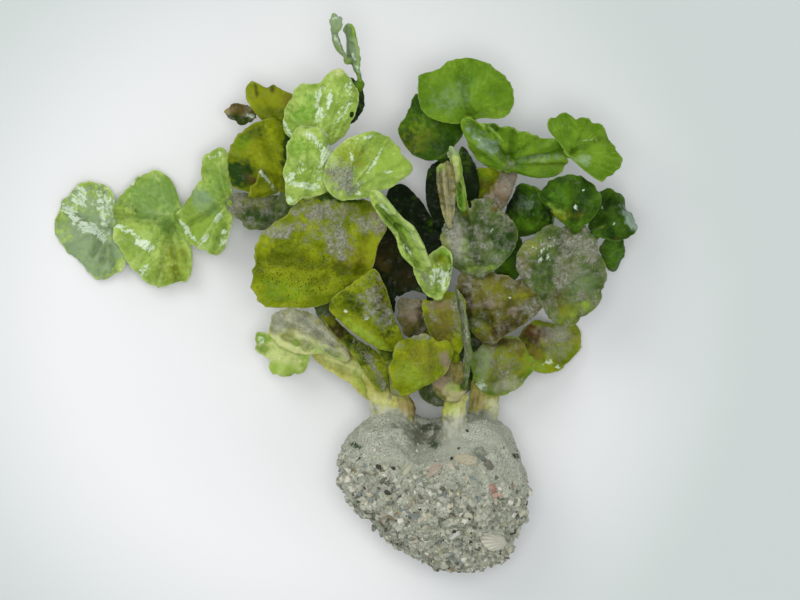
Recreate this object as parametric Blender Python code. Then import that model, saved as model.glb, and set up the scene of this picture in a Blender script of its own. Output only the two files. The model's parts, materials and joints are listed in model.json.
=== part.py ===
"""A halimeda seaweed, pulled up with its holdfast and lying on a table.

The plant is a ball of sand held together by fine roots, three flat stems that
grow out of it, and chains of flat, chalky, fan-shaped leaves.
World frame: +X is the right of the lying plant, +Y its upper side, +Z up from
the table. The origin is on the table, under the middle of the plant.
Outlines are written in units of a millimetre, at the spread given below.
"""

import itertools
import math

import bmesh
import bpy
import numpy as np
from mathutils import Vector
from mathutils.bvhtree import BVHTree

# Driving dimensions, in metres
SPREAD = 0.118  # from the tip of the left chain to the tip of the right side
UNIT = SPREAD / 118.0  # one unit of the outlines
LEAF_THICKNESS = 1.25 * UNIT
GAP = 0.3 * UNIT  # between pieces that touch
HOLDFAST_HEIGHT = 26.5 * UNIT

# How a leaf thins from its middle to its rim, as shares of its thickness
MIDDLE_SHARE = 1.0
RING_SHARE = 0.9
RIM_SHARE = 0.45
RING_AT = 0.6  # the inner ring, as a share of the way to the rim
LONGEST_STEP = 3.9  # the longest straight stretch of a rim, in units

# The holdfast's radius seen from above, every 22.5 degrees from +X, in units
HOLDFAST_MIDDLE = (17.4, -39.8)
HOLDFAST_RADII = (
    19.4, 19.0, 19.6, 17.2, 14.2, 17.2, 20.1, 19.5,
    17.4, 13.9, 12.5, 13.0, 14.4, 17.4, 19.0, 18.8,
)
HOLDFAST_COLUMNS = 32
HOLDFAST_ROWS = 13
HOLDFAST_FLAT = 0.16  # share of the height pressed flat where the ball rests
SADDLE = (16.8, -27.5)  # the hollow between the left and the middle stem
SADDLE_REACH = 6.5
SADDLE_DEPTH = 7.0

# How an upright leaf widens from its joint, as shares of its full height
JOINT_WIDTH = 0.22
FAN_OUT = 0.65

STEM_SIDES = 12

# How a leaf is fitted among the others
SEARCH_STEP = 0.3 * UNIT  # how finely two pieces are compared
RAISE_STEP = 0.25  # how much higher a leaf is tried, and how often, in units
RAISE_STEPS = 16
JOINT_STEP = 0.2  # how much farther off its parent a joint is tried, and how often
JOINT_STEPS = 12
FAR = 1.0  # metres, well above or below the whole plant
UP = Vector((0.0, 0.0, 1.0))

# Colour, roughness of each kind of surface
YOUNG_GREEN = ((0.26, 0.42, 0.07), 0.22)
MID_GREEN = ((0.13, 0.26, 0.04), 0.35)
DARK_GREEN = ((0.05, 0.12, 0.015), 0.25)
OLIVE = ((0.25, 0.28, 0.02), 0.35)
GREY_GREEN = ((0.12, 0.16, 0.08), 0.5)
BROWN_CRUST = ((0.17, 0.13, 0.07), 0.7)
PALE_STEM = ((0.50, 0.50, 0.19), 0.6)
SAND = ((0.34, 0.35, 0.28), 0.95)


def clear_scene():
    for old in list(bpy.data.objects):
        bpy.data.objects.remove(old, do_unlink=True)


def paint(thing, surface):
    colour, roughness = surface
    material = bpy.data.materials.new(thing.name)
    material.use_nodes = True
    shader = material.node_tree.nodes["Principled BSDF"]
    shader.inputs["Base Color"].default_value = (*colour, 1.0)
    shader.inputs["Roughness"].default_value = roughness
    shader.inputs["Metallic"].default_value = 0.0
    thing.data.materials.append(material)


def new_object(name, mesh):
    thing = bpy.data.objects.new(name, mesh)
    bpy.context.scene.collection.objects.link(thing)
    return thing


def through(before, start, end, after, share):
    """A point of the smooth curve through four points, between the middle two."""
    square = share * share
    cube = square * share
    return 0.5 * (
        2 * start
        + (end - before) * share
        + (2 * before - 5 * start + 4 * end - after) * square
        + (3 * start - before - 3 * end + after) * cube
    )


def closed_outline(points):
    """The points, with more between them on the smooth curve where they lie far apart."""
    corners = [Vector(p) for p in points]
    count = len(corners)
    rim = []
    for i in range(count):
        before, start = corners[i - 1], corners[i]
        end, after = corners[(i + 1) % count], corners[(i + 2) % count]
        parts = max(1, math.ceil((end - start).length / LONGEST_STEP))
        for k in range(parts):
            rim.append(through(before, start, end, after, k / parts))
    turned = sum(a.cross(b) for a, b in zip(rim, rim[1:] + rim[:1]))
    return rim if turned > 0 else rim[::-1]


def area_middle(rim):
    """The centre of area of a closed outline."""
    area = 0.0
    middle = Vector((0.0, 0.0))
    for a, b in zip(rim, rim[1:] + rim[:1]):
        piece = a.cross(b)
        area += piece
        middle += (a + b) * piece
    return middle / (3.0 * area)


def leaf_mesh(name, shape):
    """The surface of a leaf, from its middle point, its inner ring and its rim."""
    middle, ring, rim = shape
    count = len(rim)
    faces = []
    for i in range(count):
        after = (i + 1) % count
        inner, inner_after = 1 + i, 1 + after
        faces.append((0, inner, inner_after))
        faces.append((inner, inner + count, inner_after + count, inner_after))
    mesh = bpy.data.meshes.new(name)
    mesh.from_pydata([tuple(p * UNIT) for p in [middle, *ring, *rim]], [], faces)
    mesh.shade_smooth()
    return mesh


def place_points(leaf, shape):
    """Moves a leaf's points to those of a shape of the same build."""
    middle, ring, rim = shape
    for vertex, point in zip(leaf.data.vertices, [middle, *ring, *rim]):
        vertex.co = point * UNIT
    leaf.data.update()


def leaf_object(name, shape, thickness):
    """A leaf's surface made solid, thinner towards its rim."""
    count = len(shape[2])
    leaf = new_object(name, leaf_mesh(name, shape))
    body = leaf.vertex_groups.new(name="body")
    body.add([0], MIDDLE_SHARE, "REPLACE")
    body.add(list(range(1, 1 + count)), RING_SHARE, "REPLACE")
    body.add(list(range(1 + count, 1 + 2 * count)), RIM_SHARE, "REPLACE")
    solid = leaf.modifiers.new("body", "SOLIDIFY")
    solid.thickness = thickness
    solid.offset = 0.0
    solid.vertex_group = "body"
    return leaf


def flat_leaf(outline, slope=(0.0, 0.0), cup=0.0, wave=0.0, waves=5):
    """A leaf that faces up, as its middle, inner ring and rim before it is tilted.

    outline is the rim seen from above. cup lifts the rim by that many units,
    and wave bends it up and down that much.
    """
    rim_plan = closed_outline(outline)
    middle_plan = area_middle(rim_plan)

    def surface_point(out, share):
        angle = math.atan2(out.y, out.x)
        bend = (cup + wave * math.sin(waves * angle + middle_plan.x)) * share * share
        place = middle_plan + out * share
        return Vector((place.x, place.y, out.dot(Vector(slope)) * share + bend))

    outs = [p - middle_plan for p in rim_plan]
    rim = [surface_point(out, 1.0) for out in outs]
    ring = [surface_point(out, RING_AT) for out in outs]
    return [surface_point(Vector((0.0, 0.0)), 0.0), ring, rim]


def upright_leaf(spine, half_height, lean=0.0, around=18):
    """A leaf that stands on edge along a line seen from above, before it is tilted.

    The line ends at its joint, where the leaf is narrow. lean pushes its upper
    half to the left of the line, as a share of the height above its middle.
    """
    line = [Vector(p) for p in spine]
    line = [2 * line[0] - line[1], *line, 2 * line[-1] - line[-2]]
    spans = len(line) - 3

    def line_point(share):
        at = min(max(share, 0.0), 1.0) * spans
        first = min(int(at), spans - 1)
        return through(*line[first : first + 4], at - first)

    def surface_point(angle, share):
        along = math.copysign(abs(math.cos(angle)) ** 0.75, math.cos(angle)) * share
        up = math.copysign(abs(math.sin(angle)) ** 0.75, math.sin(angle)) * share
        up *= min(1.0, JOINT_WIDTH + FAN_OUT * (1 - along))
        place = line_point((along + 1) / 2)
        run = line_point((along + 1) / 2 + 0.02) - line_point((along + 1) / 2 - 0.02)
        aside = Vector((-run.y, run.x)).normalized() * lean * up * half_height
        return Vector((place.x + aside.x, place.y + aside.y, up * half_height))

    angles = [2 * math.pi * i / around for i in range(around)]
    rim = [surface_point(angle, 1.0) for angle in angles]
    ring = [surface_point(angle, RING_AT) for angle in angles]
    return [surface_point(0.0, 0.0), ring, rim]


def stem(name, stations, surface, grow=0.0):
    """A flat stem through stations, each x, y, z, width and depth, in units."""
    places = [Vector(s[:3]) for s in stations]
    mesh = bpy.data.meshes.new(name)
    build = bmesh.new()
    rings = []
    for i, (place, station) in enumerate(zip(places, stations)):
        run = places[min(i + 1, len(places) - 1)] - places[max(i - 1, 0)]
        side = Vector((run.y, -run.x, 0.0)).normalized()
        half_width = station[3] / 2 + grow
        half_depth = station[4] / 2 + grow
        ring = []
        for k in range(STEM_SIDES):
            angle = 2 * math.pi * k / STEM_SIDES
            corner = place + side * half_width * math.cos(angle)
            corner.z += half_depth * math.sin(angle)
            ring.append(build.verts.new(corner * UNIT))
        rings.append(ring)
    for lower, upper in zip(rings, rings[1:]):
        for k in range(STEM_SIDES):
            after = (k + 1) % STEM_SIDES
            build.faces.new((lower[k], lower[after], upper[after], upper[k]))
    build.faces.new(rings[0])
    build.faces.new(rings[-1])
    bmesh.ops.recalc_face_normals(build, faces=build.faces)
    build.to_mesh(mesh)
    build.free()
    mesh.shade_smooth()
    mesh.set_sharp_from_angle(angle=math.radians(60))
    piece = new_object(name, mesh)
    paint(piece, surface)
    return piece


def holdfast_radius(angle):
    """The holdfast's plan radius in a direction, between the measured ones."""
    count = len(HOLDFAST_RADII)
    at = (angle / (2 * math.pi)) % 1.0 * count
    first = int(at)
    near = [HOLDFAST_RADII[(first + k) % count] for k in (-1, 0, 1, 2)]
    return through(*near, at - first)


def holdfast(stems):
    """The ball of sand, flat where it rests, with a socket around each stem."""
    bottom = -math.sqrt(1 - HOLDFAST_FLAT)
    height = HOLDFAST_HEIGHT / UNIT
    build = bmesh.new()
    rows = []
    for row in range(HOLDFAST_ROWS):
        rise = math.asin(bottom) + (math.pi / 2 - math.asin(bottom)) * row / HOLDFAST_ROWS
        level = (math.sin(rise) - bottom) / (1 - bottom) * height
        share = math.cos(rise) ** 0.8
        ring = []
        for column in range(HOLDFAST_COLUMNS):
            angle = 2 * math.pi * column / HOLDFAST_COLUMNS
            lumps = 1 + 0.025 * math.sin(5 * angle + 1.9 * row) * math.sin(2.3 * row)
            radius = holdfast_radius(angle) * share * lumps
            x = HOLDFAST_MIDDLE[0] + radius * math.cos(angle)
            y = HOLDFAST_MIDDLE[1] + radius * math.sin(angle)
            away = math.hypot(x - SADDLE[0], y - SADDLE[1]) / SADDLE_REACH
            sink = SADDLE_DEPTH * math.exp(-away * away) * level / height
            ring.append(build.verts.new(Vector((x, y, level - sink)) * UNIT))
        rows.append(ring)
    for lower, upper in zip(rows, rows[1:]):
        for k in range(HOLDFAST_COLUMNS):
            after = (k + 1) % HOLDFAST_COLUMNS
            build.faces.new((lower[k], lower[after], upper[after], upper[k]))
    build.faces.new(rows[0][::-1])
    crown = build.verts.new(Vector((*HOLDFAST_MIDDLE, height * 1.005)) * UNIT)
    for k in range(HOLDFAST_COLUMNS):
        build.faces.new((rows[-1][k], rows[-1][(k + 1) % HOLDFAST_COLUMNS], crown))
    mesh = bpy.data.meshes.new("holdfast")
    build.to_mesh(mesh)
    build.free()
    mesh.shade_smooth()
    mesh.set_sharp_from_angle(angle=math.radians(50))
    ball = new_object("holdfast", mesh)
    paint(ball, SAND)
    for name, stations in stems.items():
        cutter = stem(name + "_socket", stations, SAND, grow=GAP / UNIT)
        cutter.hide_render = True
        cutter.display_type = "WIRE"
        socket = ball.modifiers.new(cutter.name, "BOOLEAN")
        socket.operation = "DIFFERENCE"
        socket.solver = "EXACT"
        socket.object = cutter
    return ball


STEMS = {
    "stem_left": (
        (9.6, -31.0, 12.5, 6.5, 4.6),
        (9.6, -26.5, 13.0, 8.4, 4.8),
        (9.4, -23.5, 13.4, 9.6, 4.6),
        (9.0, -20.5, 13.6, 9.0, 4.0),
        (7.0, -17.0, 13.6, 6.8, 3.2),
        (5.4, -14.6, 13.4, 5.4, 2.6),
    ),
    "stem_middle": (
        (22.0, -33.0, 18.6, 4.6, 4.4),
        (22.0, -28.0, 19.2, 5.0, 4.6),
        (22.0, -24.0, 19.6, 4.6, 4.2),
        (22.2, -20.2, 19.8, 5.4, 3.4),
    ),
    "stem_right": (
        (27.0, -31.0, 9.0, 5.6, 4.6),
        (27.4, -26.0, 9.8, 6.2, 5.0),
        (27.8, -21.5, 10.6, 6.4, 4.4),
        (28.6, -17.0, 11.2, 6.0, 3.2),
    ),
}


class Piece:
    """A piece in its place, with its highest and lowest surface over a fine grid."""

    def __init__(self, thing):
        scene = bpy.context.evaluated_depsgraph_get()
        self.tree = BVHTree.FromObject(thing, scene)
        corners = [Vector(corner) for corner in thing.evaluated_get(scene).bound_box]
        self.low = Vector([min(c[axis] for c in corners) for axis in range(3)])
        self.high = Vector([max(c[axis] for c in corners) for axis in range(3)])
        self.start = [math.floor(self.low[axis] / SEARCH_STEP) - 1 for axis in (0, 1)]
        self.end = [math.ceil(self.high[axis] / SEARCH_STEP) + 1 for axis in (0, 1)]
        size = [self.end[axis] - self.start[axis] + 1 for axis in (0, 1)]
        self.bottoms = np.full(size, np.nan)
        self.tops = np.full(size, np.nan)
        for i in range(size[0]):
            x = (self.start[0] + i) * SEARCH_STEP
            for j in range(size[1]):
                y = (self.start[1] + j) * SEARCH_STEP
                bottom = self.tree.ray_cast(Vector((x, y, -FAR)), UP)[0]
                if bottom is not None:
                    self.bottoms[i, j] = bottom.z
                    self.tops[i, j] = self.tree.ray_cast(Vector((x, y, FAR)), -UP)[0].z

    def widened(self):
        """Grows the kept heights by one step of the grid all round, for a sideways gap."""
        for name, pick in (("tops", np.fmax), ("bottoms", np.fmin)):
            for axis in (0, 1):
                heights = getattr(self, name)
                forward = np.roll(heights, 1, axis)
                back = np.roll(heights, -1, axis)
                setattr(self, name, pick(heights, pick(forward, back)))
        return self

    def window(self, other, heights):
        """The part of some kept heights that lies over another piece's grid."""
        start = [max(self.start[axis], other.start[axis]) - self.start[axis] for axis in (0, 1)]
        end = [min(self.end[axis], other.end[axis]) - self.start[axis] + 1 for axis in (0, 1)]
        return heights[start[0] : max(end[0], start[0]), start[1] : max(end[1], start[1])]

    def clears(self, other):
        """Whether this piece passes over or under another with a gap."""
        bottoms, tops = self.window(other, self.bottoms), self.window(other, self.tops)
        if not bottoms.size:
            return True
        above = bottoms - other.window(self, other.tops) >= GAP
        below = other.window(self, other.bottoms) - tops >= GAP
        apart = np.isnan(bottoms - other.window(self, other.tops))
        return bool(np.all(above | below | apart))

    def height_at(self, place, side):
        """The height of the upper or lower surface at a place, or of the surface near it."""
        start = Vector((*place, side * FAR))
        hit = self.tree.ray_cast(start, -side * UP)[0]
        if hit is None:
            hit = self.tree.find_nearest(Vector((*place, (self.low.z + self.high.z) / 2)))[0]
        return hit.z


def tilted(shape, joint, joint_height, height):
    """A shape raised to a height at its middle and tilted to another at its joint."""
    middle, ring, rim = shape
    to_joint = Vector(joint) - Vector((middle.x, middle.y))
    slope = to_joint * ((joint_height - height) / to_joint.length_squared)

    def moved(point):
        out = Vector((point.x - middle.x, point.y - middle.y))
        return Vector((point.x, point.y, point.z + height + out.dot(slope)))

    return [moved(middle), [moved(p) for p in ring], [moved(p) for p in rim]]


def grow(laid, name, parent, joint, height, surface, shape, thick=1.0):
    """Grows a leaf from its parent at a joint, with its middle near a height.

    It grows from the parent's upper or lower side, whichever is nearer to that
    height. It is raised, and its joint end moved off the parent, by the fewest
    steps that clear the table and every piece laid before it.
    """
    upper = laid[parent].height_at(Vector(joint) * UNIT, 1) / UNIT
    lower = laid[parent].height_at(Vector(joint) * UNIT, -1) / UNIT
    thickness = LEAF_THICKNESS * thick
    offset = (GAP + thickness * RIM_SHARE / 2) / UNIT
    leaf = leaf_object(name, shape, thickness)
    paint(leaf, surface)
    over = height >= (upper + lower) / 2
    tries = itertools.product(range(RAISE_STEPS), range(JOINT_STEPS))
    for step, slide in sorted(tries, key=sum):
        middle_height = height + step * RAISE_STEP
        clearance = offset + slide * JOINT_STEP
        joint_height = upper + clearance if over else lower - clearance
        place_points(leaf, tilted(shape, joint, joint_height, middle_height))
        piece = Piece(leaf)
        if piece.low.z >= 0 and all(piece.clears(other) for other in laid.values()):
            laid[name] = piece.widened()
            return
    blocked = [other for other in laid if not piece.clears(laid[other])]
    raise ValueError(f"{name} has no clear place beside {blocked}")


# Each leaf below: its name, the piece it grows from, the joint seen from above,
# the height of its middle, its kind of surface and its shape. Lengths are in units.


def left_olive_branch(laid):
    """From the left stem up through the largest leaf to the top of the plant."""
    grow(
        laid, "low_olive_stalk", "stem_left", (10.2, -19.4), 18.6, OLIVE,
        flat_leaf([(5.4, -9.6), (7, -12.6), (8.8, -15.6), (9, -20), (11.6, -21), (13.6, -17),
                   (13, -12), (10, -8.8)], cup=-0.3),
    )
    grow(
        laid, "low_olive_leaf", "low_olive_stalk", (9.2, -10.6), 24.0, OLIVE,
        flat_leaf([(-4, -2.4), (-2.4, -4.4), (0.6, -7), (4, -9.6), (8, -11.8), (11.4, -11.4),
                   (12, -9.2), (10, -5.4), (9, -1.4), (7.6, 2.4), (6.4, 5.4), (3.8, 4.4),
                   (1, 1.4), (-1.6, -0.4)], cup=-0.4, wave=0.3, waves=5),
    )
    grow(
        laid, "centre_great_leaf", "low_olive_leaf", (4.6, 3.4), 24.5, OLIVE,
        flat_leaf([(-9.4, 18.8), (-6.4, 20.4), (-3, 20.2), (0.6, 18.8), (4.8, 18.8), (7.2, 16),
                   (8.8, 13), (6.6, 9.6), (5.8, 5), (2.2, 1), (-2, -1.6), (-6.6, -3.1),
                   (-12, -2.9), (-16.6, -2.3), (-18, 0), (-18.9, 4.2), (-17.1, 6.2),
                   (-17.4, 9.6), (-16, 12.8), (-12.2, 15.4)],
                  slope=(0.0, 0.04), cup=-1.0, wave=0.6, waves=4),
        thick=1.15,
    )
    grow(
        laid, "centre_bumpy_leaf", "centre_great_leaf", (-7.5, 19.6), 26.0, YOUNG_GREEN,
        flat_leaf([(-9.2, 32.6), (-6, 33.4), (-3.4, 31), (-1.4, 26), (-1.6, 21), (-4.8, 19.2),
                   (-8.8, 18.8), (-9.6, 17.4), (-11, 17.2), (-11.8, 18.8), (-11.3, 20.8),
                   (-12.6, 23), (-11.4, 26.8), (-11.8, 30)], cup=-0.8, wave=0.6, waves=5),
    )
    grow(
        laid, "centre_glossy_leaf", "centre_bumpy_leaf", (-6, 31.6), 23.0, YOUNG_GREEN,
        flat_leaf([(-1.6, 44.5), (0.6, 43.6), (2.4, 41.2), (2.7, 38.2), (2, 34.6), (-0.4, 30.6),
                   (-4.4, 29), (-9, 29), (-11.8, 31), (-12.7, 34.4), (-11.4, 37.6), (-9.2, 41),
                   (-5, 42.2), (-3.4, 43.9)], cup=-1.2, wave=0.7, waves=4),
    )
    grow(
        laid, "top_dark_leaf", "centre_glossy_leaf", (1.2, 35.4), 18.0, DARK_GREEN,
        flat_leaf([(1.4, 43.4), (3.6, 41), (4.1, 38.4), (3.6, 36), (2, 33.6), (-1, 33.4),
                   (-2.6, 37), (-1.4, 41)], cup=-0.4),
    )
    grow(
        laid, "top_edge_leaf", "top_dark_leaf", (2.9, 42.2), 18.0, MID_GREEN,
        upright_leaf([(0.6, 54), (1.2, 51), (1.7, 48), (2.2, 45.4), (3.2, 41.8)],
                     half_height=3.6, lean=0.32),
        thick=0.85,
    )
    grow(
        laid, "top_thin_leaf", "top_edge_leaf", (1.2, 46.6), 19.5, YOUNG_GREEN,
        upright_leaf([(-2.2, 52.6), (-1.8, 50.6), (-1, 48.6), (0.6, 46.4)],
                     half_height=2.2, lean=0.1, around=14),
        thick=0.7,
    )
    grow(
        laid, "top_bud", "top_thin_leaf", (-1.9, 52.4), 23.5, YOUNG_GREEN,
        flat_leaf([(-3.3, 55.3), (-2.2, 55.9), (-1, 55), (-0.4, 53.4), (-1, 51.8), (-2.4, 51.8)],
                  cup=-0.5),
        thick=1.1,
    )
    grow(
        laid, "centre_fan_leaf", "centre_bumpy_leaf", (-2.6, 23.4), 26.6, YOUNG_GREEN,
        flat_leaf([(0, 30.4), (3.4, 32), (6.4, 32.3), (9.6, 31), (11.4, 29), (11.7, 27.4),
                   (14, 26), (13.2, 23.8), (9.6, 21), (6.6, 19.8), (2, 18.4), (-2, 18.6),
                   (-4.4, 21.2), (-3.6, 26.6)], cup=-0.6, wave=0.6, waves=6),
    )


def left_low_branch(laid):
    """The pale branch at the lower left, and the strap that carries the left chain."""
    grow(
        laid, "lower_left_pale_leaf", "stem_left", (6.2, -16.8), 10.2, PALE_STEM,
        flat_leaf([(-7, -12), (-4, -10.4), (2, -11), (6.2, -14), (8, -19), (7, -21.8),
                   (4.4, -21.6), (2, -19.4), (-1.8, -16.2), (-5.6, -14.6)],
                  cup=-0.4, wave=0.2, waves=4),
    )
    grow(
        laid, "lower_left_furry_leaf", "lower_left_pale_leaf", (0, -13), 11.2, PALE_STEM,
        flat_leaf([(-15.6, -5.2), (-14.4, -3.6), (-12, -3), (-8.6, -3.2), (-5.4, -5),
                   (-2.2, -7.4), (0, -9.8), (1.2, -12.6), (0.6, -14), (-1.8, -13.4),
                   (-4.6, -12), (-7, -12.6), (-9.4, -12.4), (-12.2, -11.4), (-14.8, -9.6)],
                  cup=-0.3, wave=0.5, waves=5),
    )
    grow(
        laid, "lower_left_tip", "lower_left_furry_leaf", (-10, -10.6), 5.6, YOUNG_GREEN,
        flat_leaf([(-19, -8.4), (-17.2, -7.4), (-13, -9), (-9, -9.6), (-6.6, -13), (-8.4, -16.4),
                   (-11, -17.2), (-14, -17), (-15.4, -15.4), (-15.4, -13), (-17.8, -11.8)],
                  wave=0.3, waves=4),
    )
    grow(
        laid, "lower_left_strap", "stem_left", (7.4, -18), 15.4, OLIVE,
        flat_leaf([(-5.6, -4), (-3, -4), (1, -8.2), (5.4, -10.6), (8.2, -14), (8.8, -18),
                   (7.6, -20.6), (6, -19), (3.6, -15.6), (1, -11.8), (-2.4, -8.2)], cup=-0.2),
        thick=0.9,
    )
    grow(
        laid, "centre_link_leaf", "lower_left_strap", (-3.6, -5), 13.4, GREY_GREEN,
        flat_leaf([(-14.4, 17.4), (-12.4, 21.4), (-8, 20.4), (-2, 18.4), (3, 12), (2.4, 4),
                   (-1.6, -5.6), (-5, -6), (-8, 2), (-13, 10.6)],
                  cup=-0.5, wave=0.3, waves=4),
    )
    grow(
        laid, "left_chain_leaf_4", "centre_link_leaf", (-13, 17.4), 11.0, GREY_GREEN,
        flat_leaf([(-24, 18.6), (-21, 14.4), (-17.4, 12.2), (-14.4, 13), (-11, 16.6),
                   (-12.4, 19.4), (-17, 20), (-21.6, 20.2)], cup=-0.3, wave=0.3, waves=4),
    )
    grow(
        laid, "left_chain_leaf_3", "left_chain_leaf_4", (-23.2, 18), 8.0, YOUNG_GREEN,
        flat_leaf([(-28.4, 28.6), (-26, 29.2), (-23.2, 28.4), (-23, 24.6), (-22.6, 20.6),
                   (-22.2, 15.6), (-24.8, 7.6), (-27, 7.6), (-29.6, 8.8), (-33, 12.4),
                   (-34.2, 15.6), (-33, 18), (-29.6, 22)], cup=-0.4, wave=0.4, waves=5),
    )
    grow(
        laid, "left_chain_leaf_2", "left_chain_leaf_3", (-33.4, 15.8), 4.6, YOUNG_GREEN,
        flat_leaf([(-44.8, 20.2), (-41.6, 23.8), (-38, 25.2), (-35, 23.2), (-33, 17.6),
                   (-33.2, 15.6), (-30.8, 8.6), (-31.6, 2.6), (-34.6, 1), (-36, 1.9),
                   (-38, 1.2), (-41.4, 3.6), (-44.6, 7.6), (-47.4, 13.6), (-47, 17.2)],
                  cup=-0.5, wave=0.4, waves=5),
    )
    grow(
        laid, "left_chain_leaf_1", "left_chain_leaf_2", (-46.8, 14), 0.7, YOUNG_GREEN,
        flat_leaf([(-50, 23.2), (-47, 21), (-46, 17.5), (-45.4, 12.5), (-43.8, 6.5), (-47, 2.8),
                   (-51, 3.2), (-55.6, 7), (-56.6, 9.2), (-58.8, 12), (-58.6, 15),
                   (-56.4, 20.4)], cup=0.2, wave=0.3, waves=6),
    )
    grow(
        laid, "upper_left_round_leaf", "centre_link_leaf", (-12.4, 21.2), 14.6, OLIVE,
        flat_leaf([(-13, 34.8), (-17, 34.4), (-20.4, 33), (-22.8, 29.6), (-23.6, 25.6),
                   (-22.6, 20.8), (-19, 20), (-15, 20.2), (-11.6, 20.6), (-9.8, 28),
                   (-10.4, 32.4)], cup=-1.0, wave=0.5, waves=3),
    )
    grow(
        laid, "upper_left_lobed_leaf", "upper_left_round_leaf", (-14.4, 34.2), 12.0, OLIVE,
        flat_leaf([(-20.3, 41), (-18.6, 42.6), (-16.7, 41.6), (-15, 42.4), (-11.4, 40.4),
                   (-9.2, 38.6), (-10, 35.4), (-14, 33), (-17.6, 35.2), (-19.6, 38.2)],
                  wave=0.4, waves=3),
    )
    grow(
        laid, "upper_left_tip", "upper_left_lobed_leaf", (-18.6, 36.6), 9.6, BROWN_CRUST,
        flat_leaf([(-24.4, 37.2), (-22.6, 38.2), (-20, 38.2), (-17.6, 36.8), (-17.6, 34.8),
                   (-20.6, 33), (-23, 35)], wave=0.3, waves=4),
    )
    grow(
        laid, "upper_left_stalk_leaf", "upper_left_round_leaf", (-14.4, 20.6), 17.0, OLIVE,
        flat_leaf([(-17.4, 25), (-15.6, 24.6), (-13.2, 20.6), (-14.6, 19.4), (-18, 18.6),
                   (-19.9, 19.6), (-17.6, 21.8)]),
        thick=0.8,
    )


def middle_branch(laid):
    """From the middle stem up to the rolled leaf, and the dark leaves behind."""
    grow(
        laid, "low_base_leaf", "stem_middle", (22, -20.8), 23.2, BROWN_CRUST,
        flat_leaf([(16, -16.4), (19, -14.2), (22, -12.4), (24.4, -14.6), (24.8, -18),
                   (23.4, -21.6), (20.4, -22), (17.4, -19.4)], cup=-0.4, wave=0.2, waves=4),
    )
    grow(
        laid, "low_crusted_leaf", "low_base_leaf", (21.8, -13), 20.4, OLIVE,
        flat_leaf([(15.2, -1.4), (18, -0.2), (21.4, 0.8), (23.8, -1), (24.2, -5), (23.4, -12.6),
                   (20, -13.4), (16.6, -8)], cup=-0.5, wave=0.3, waves=4),
    )
    grow(
        laid, "low_pink_leaf", "low_crusted_leaf", (16.4, -4.6), 16.8, BROWN_CRUST,
        flat_leaf([(9.8, -2), (12.6, -1), (15.6, -1), (18.6, -3.4), (19, -7.4), (15.4, -9.6),
                   (12.4, -8.8), (10.2, -5)], wave=0.3, waves=4),
    )
    grow(
        laid, "low_front_leaf", "low_base_leaf", (17, -16.6), 25.2, OLIVE,
        flat_leaf([(9.2, -13.4), (10.8, -10.4), (14.6, -8.3), (17.8, -8.9), (20.8, -9.9),
                   (21.8, -12.4), (20.6, -15.6), (17, -18.2), (11.2, -20.6), (9.6, -18.4)],
                  cup=-0.5, wave=0.5, waves=5),
    )
    grow(
        laid, "low_edge_leaf", "low_base_leaf", (23.6, -18.6), 26.0, GREY_GREEN,
        upright_leaf([(22.4, 1.4), (23.4, -3.4), (24, -7.4), (24.6, -11.4), (24.6, -15.4),
                      (23.6, -19.6)], half_height=2.6, lean=0.3),
        thick=0.85,
    )
    grow(
        laid, "centre_ribbon_foot", "low_crusted_leaf", (18.8, -0.9), 22.0, YOUNG_GREEN,
        flat_leaf([(13.4, 6.4), (16, 6.6), (17.8, 8.6), (19.6, 9.3), (21.4, 8.4), (21.9, 6.4),
                   (21.2, 3), (20.4, 0), (18.6, -1.4), (16.6, -1), (15, 1), (13.8, 3.6)],
                  cup=-0.5, wave=0.3, waves=5),
    )
    grow(
        laid, "centre_ribbon_leaf", "centre_ribbon_foot", (16.4, 5.4), 28.0, YOUNG_GREEN,
        flat_leaf([(4.9, 19.8), (6.2, 20.9), (7.8, 20), (9.4, 17.2), (11.4, 15.3), (13.4, 13.9),
                   (14.9, 11.4), (15.9, 8.6), (17.3, 6.6), (17, 4.8), (15.2, 3.8), (13.4, 5.2),
                   (11.6, 6.8), (10.5, 9), (10, 11.4), (8.4, 13.2), (6.4, 15.6), (5, 18)],
                  cup=0.3, wave=0.3, waves=3),
    )
    grow(
        laid, "centre_dark_leaf", "low_crusted_leaf", (17.6, -1), 12.0, DARK_GREEN,
        flat_leaf([(9.4, 21.8), (12.2, 22.2), (16, 17.4), (19.2, 13.6), (19.4, 8.6), (18.6, 1),
                   (17.2, -1.4), (14.6, 0.8), (11.4, -0.2), (10, -2), (9.6, -5.4), (7.6, -6),
                   (6, -2.6), (5, 2), (4.8, 6.6), (5.2, 12), (7, 17.4)],
                  cup=0.4, wave=0.3, waves=4),
    )
    grow(
        laid, "right_narrow_dark_leaf", "centre_dark_leaf", (18.6, 13.8), 14.0, DARK_GREEN,
        flat_leaf([(16.6, 24.8), (18, 27), (20.2, 28.4), (22.2, 26.4), (22.6, 20.6), (21.6, 15),
                   (19, 13), (16.8, 15.6), (16, 20.6)], cup=0.3),
    )
    grow(
        laid, "upper_right_under_leaf", "right_narrow_dark_leaf", (19.4, 27.2), 15.0, DARK_GREEN,
        flat_leaf([(14.2, 39.4), (12.7, 37.4), (12.5, 35), (11, 33.8), (10.8, 31.6), (13, 28),
                   (15, 26.4), (18.6, 26.2), (20.8, 28.4), (23.6, 31), (24, 34), (21, 37.6),
                   (17, 39.6)], cup=-0.6, wave=0.4, waves=4),
    )


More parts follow.
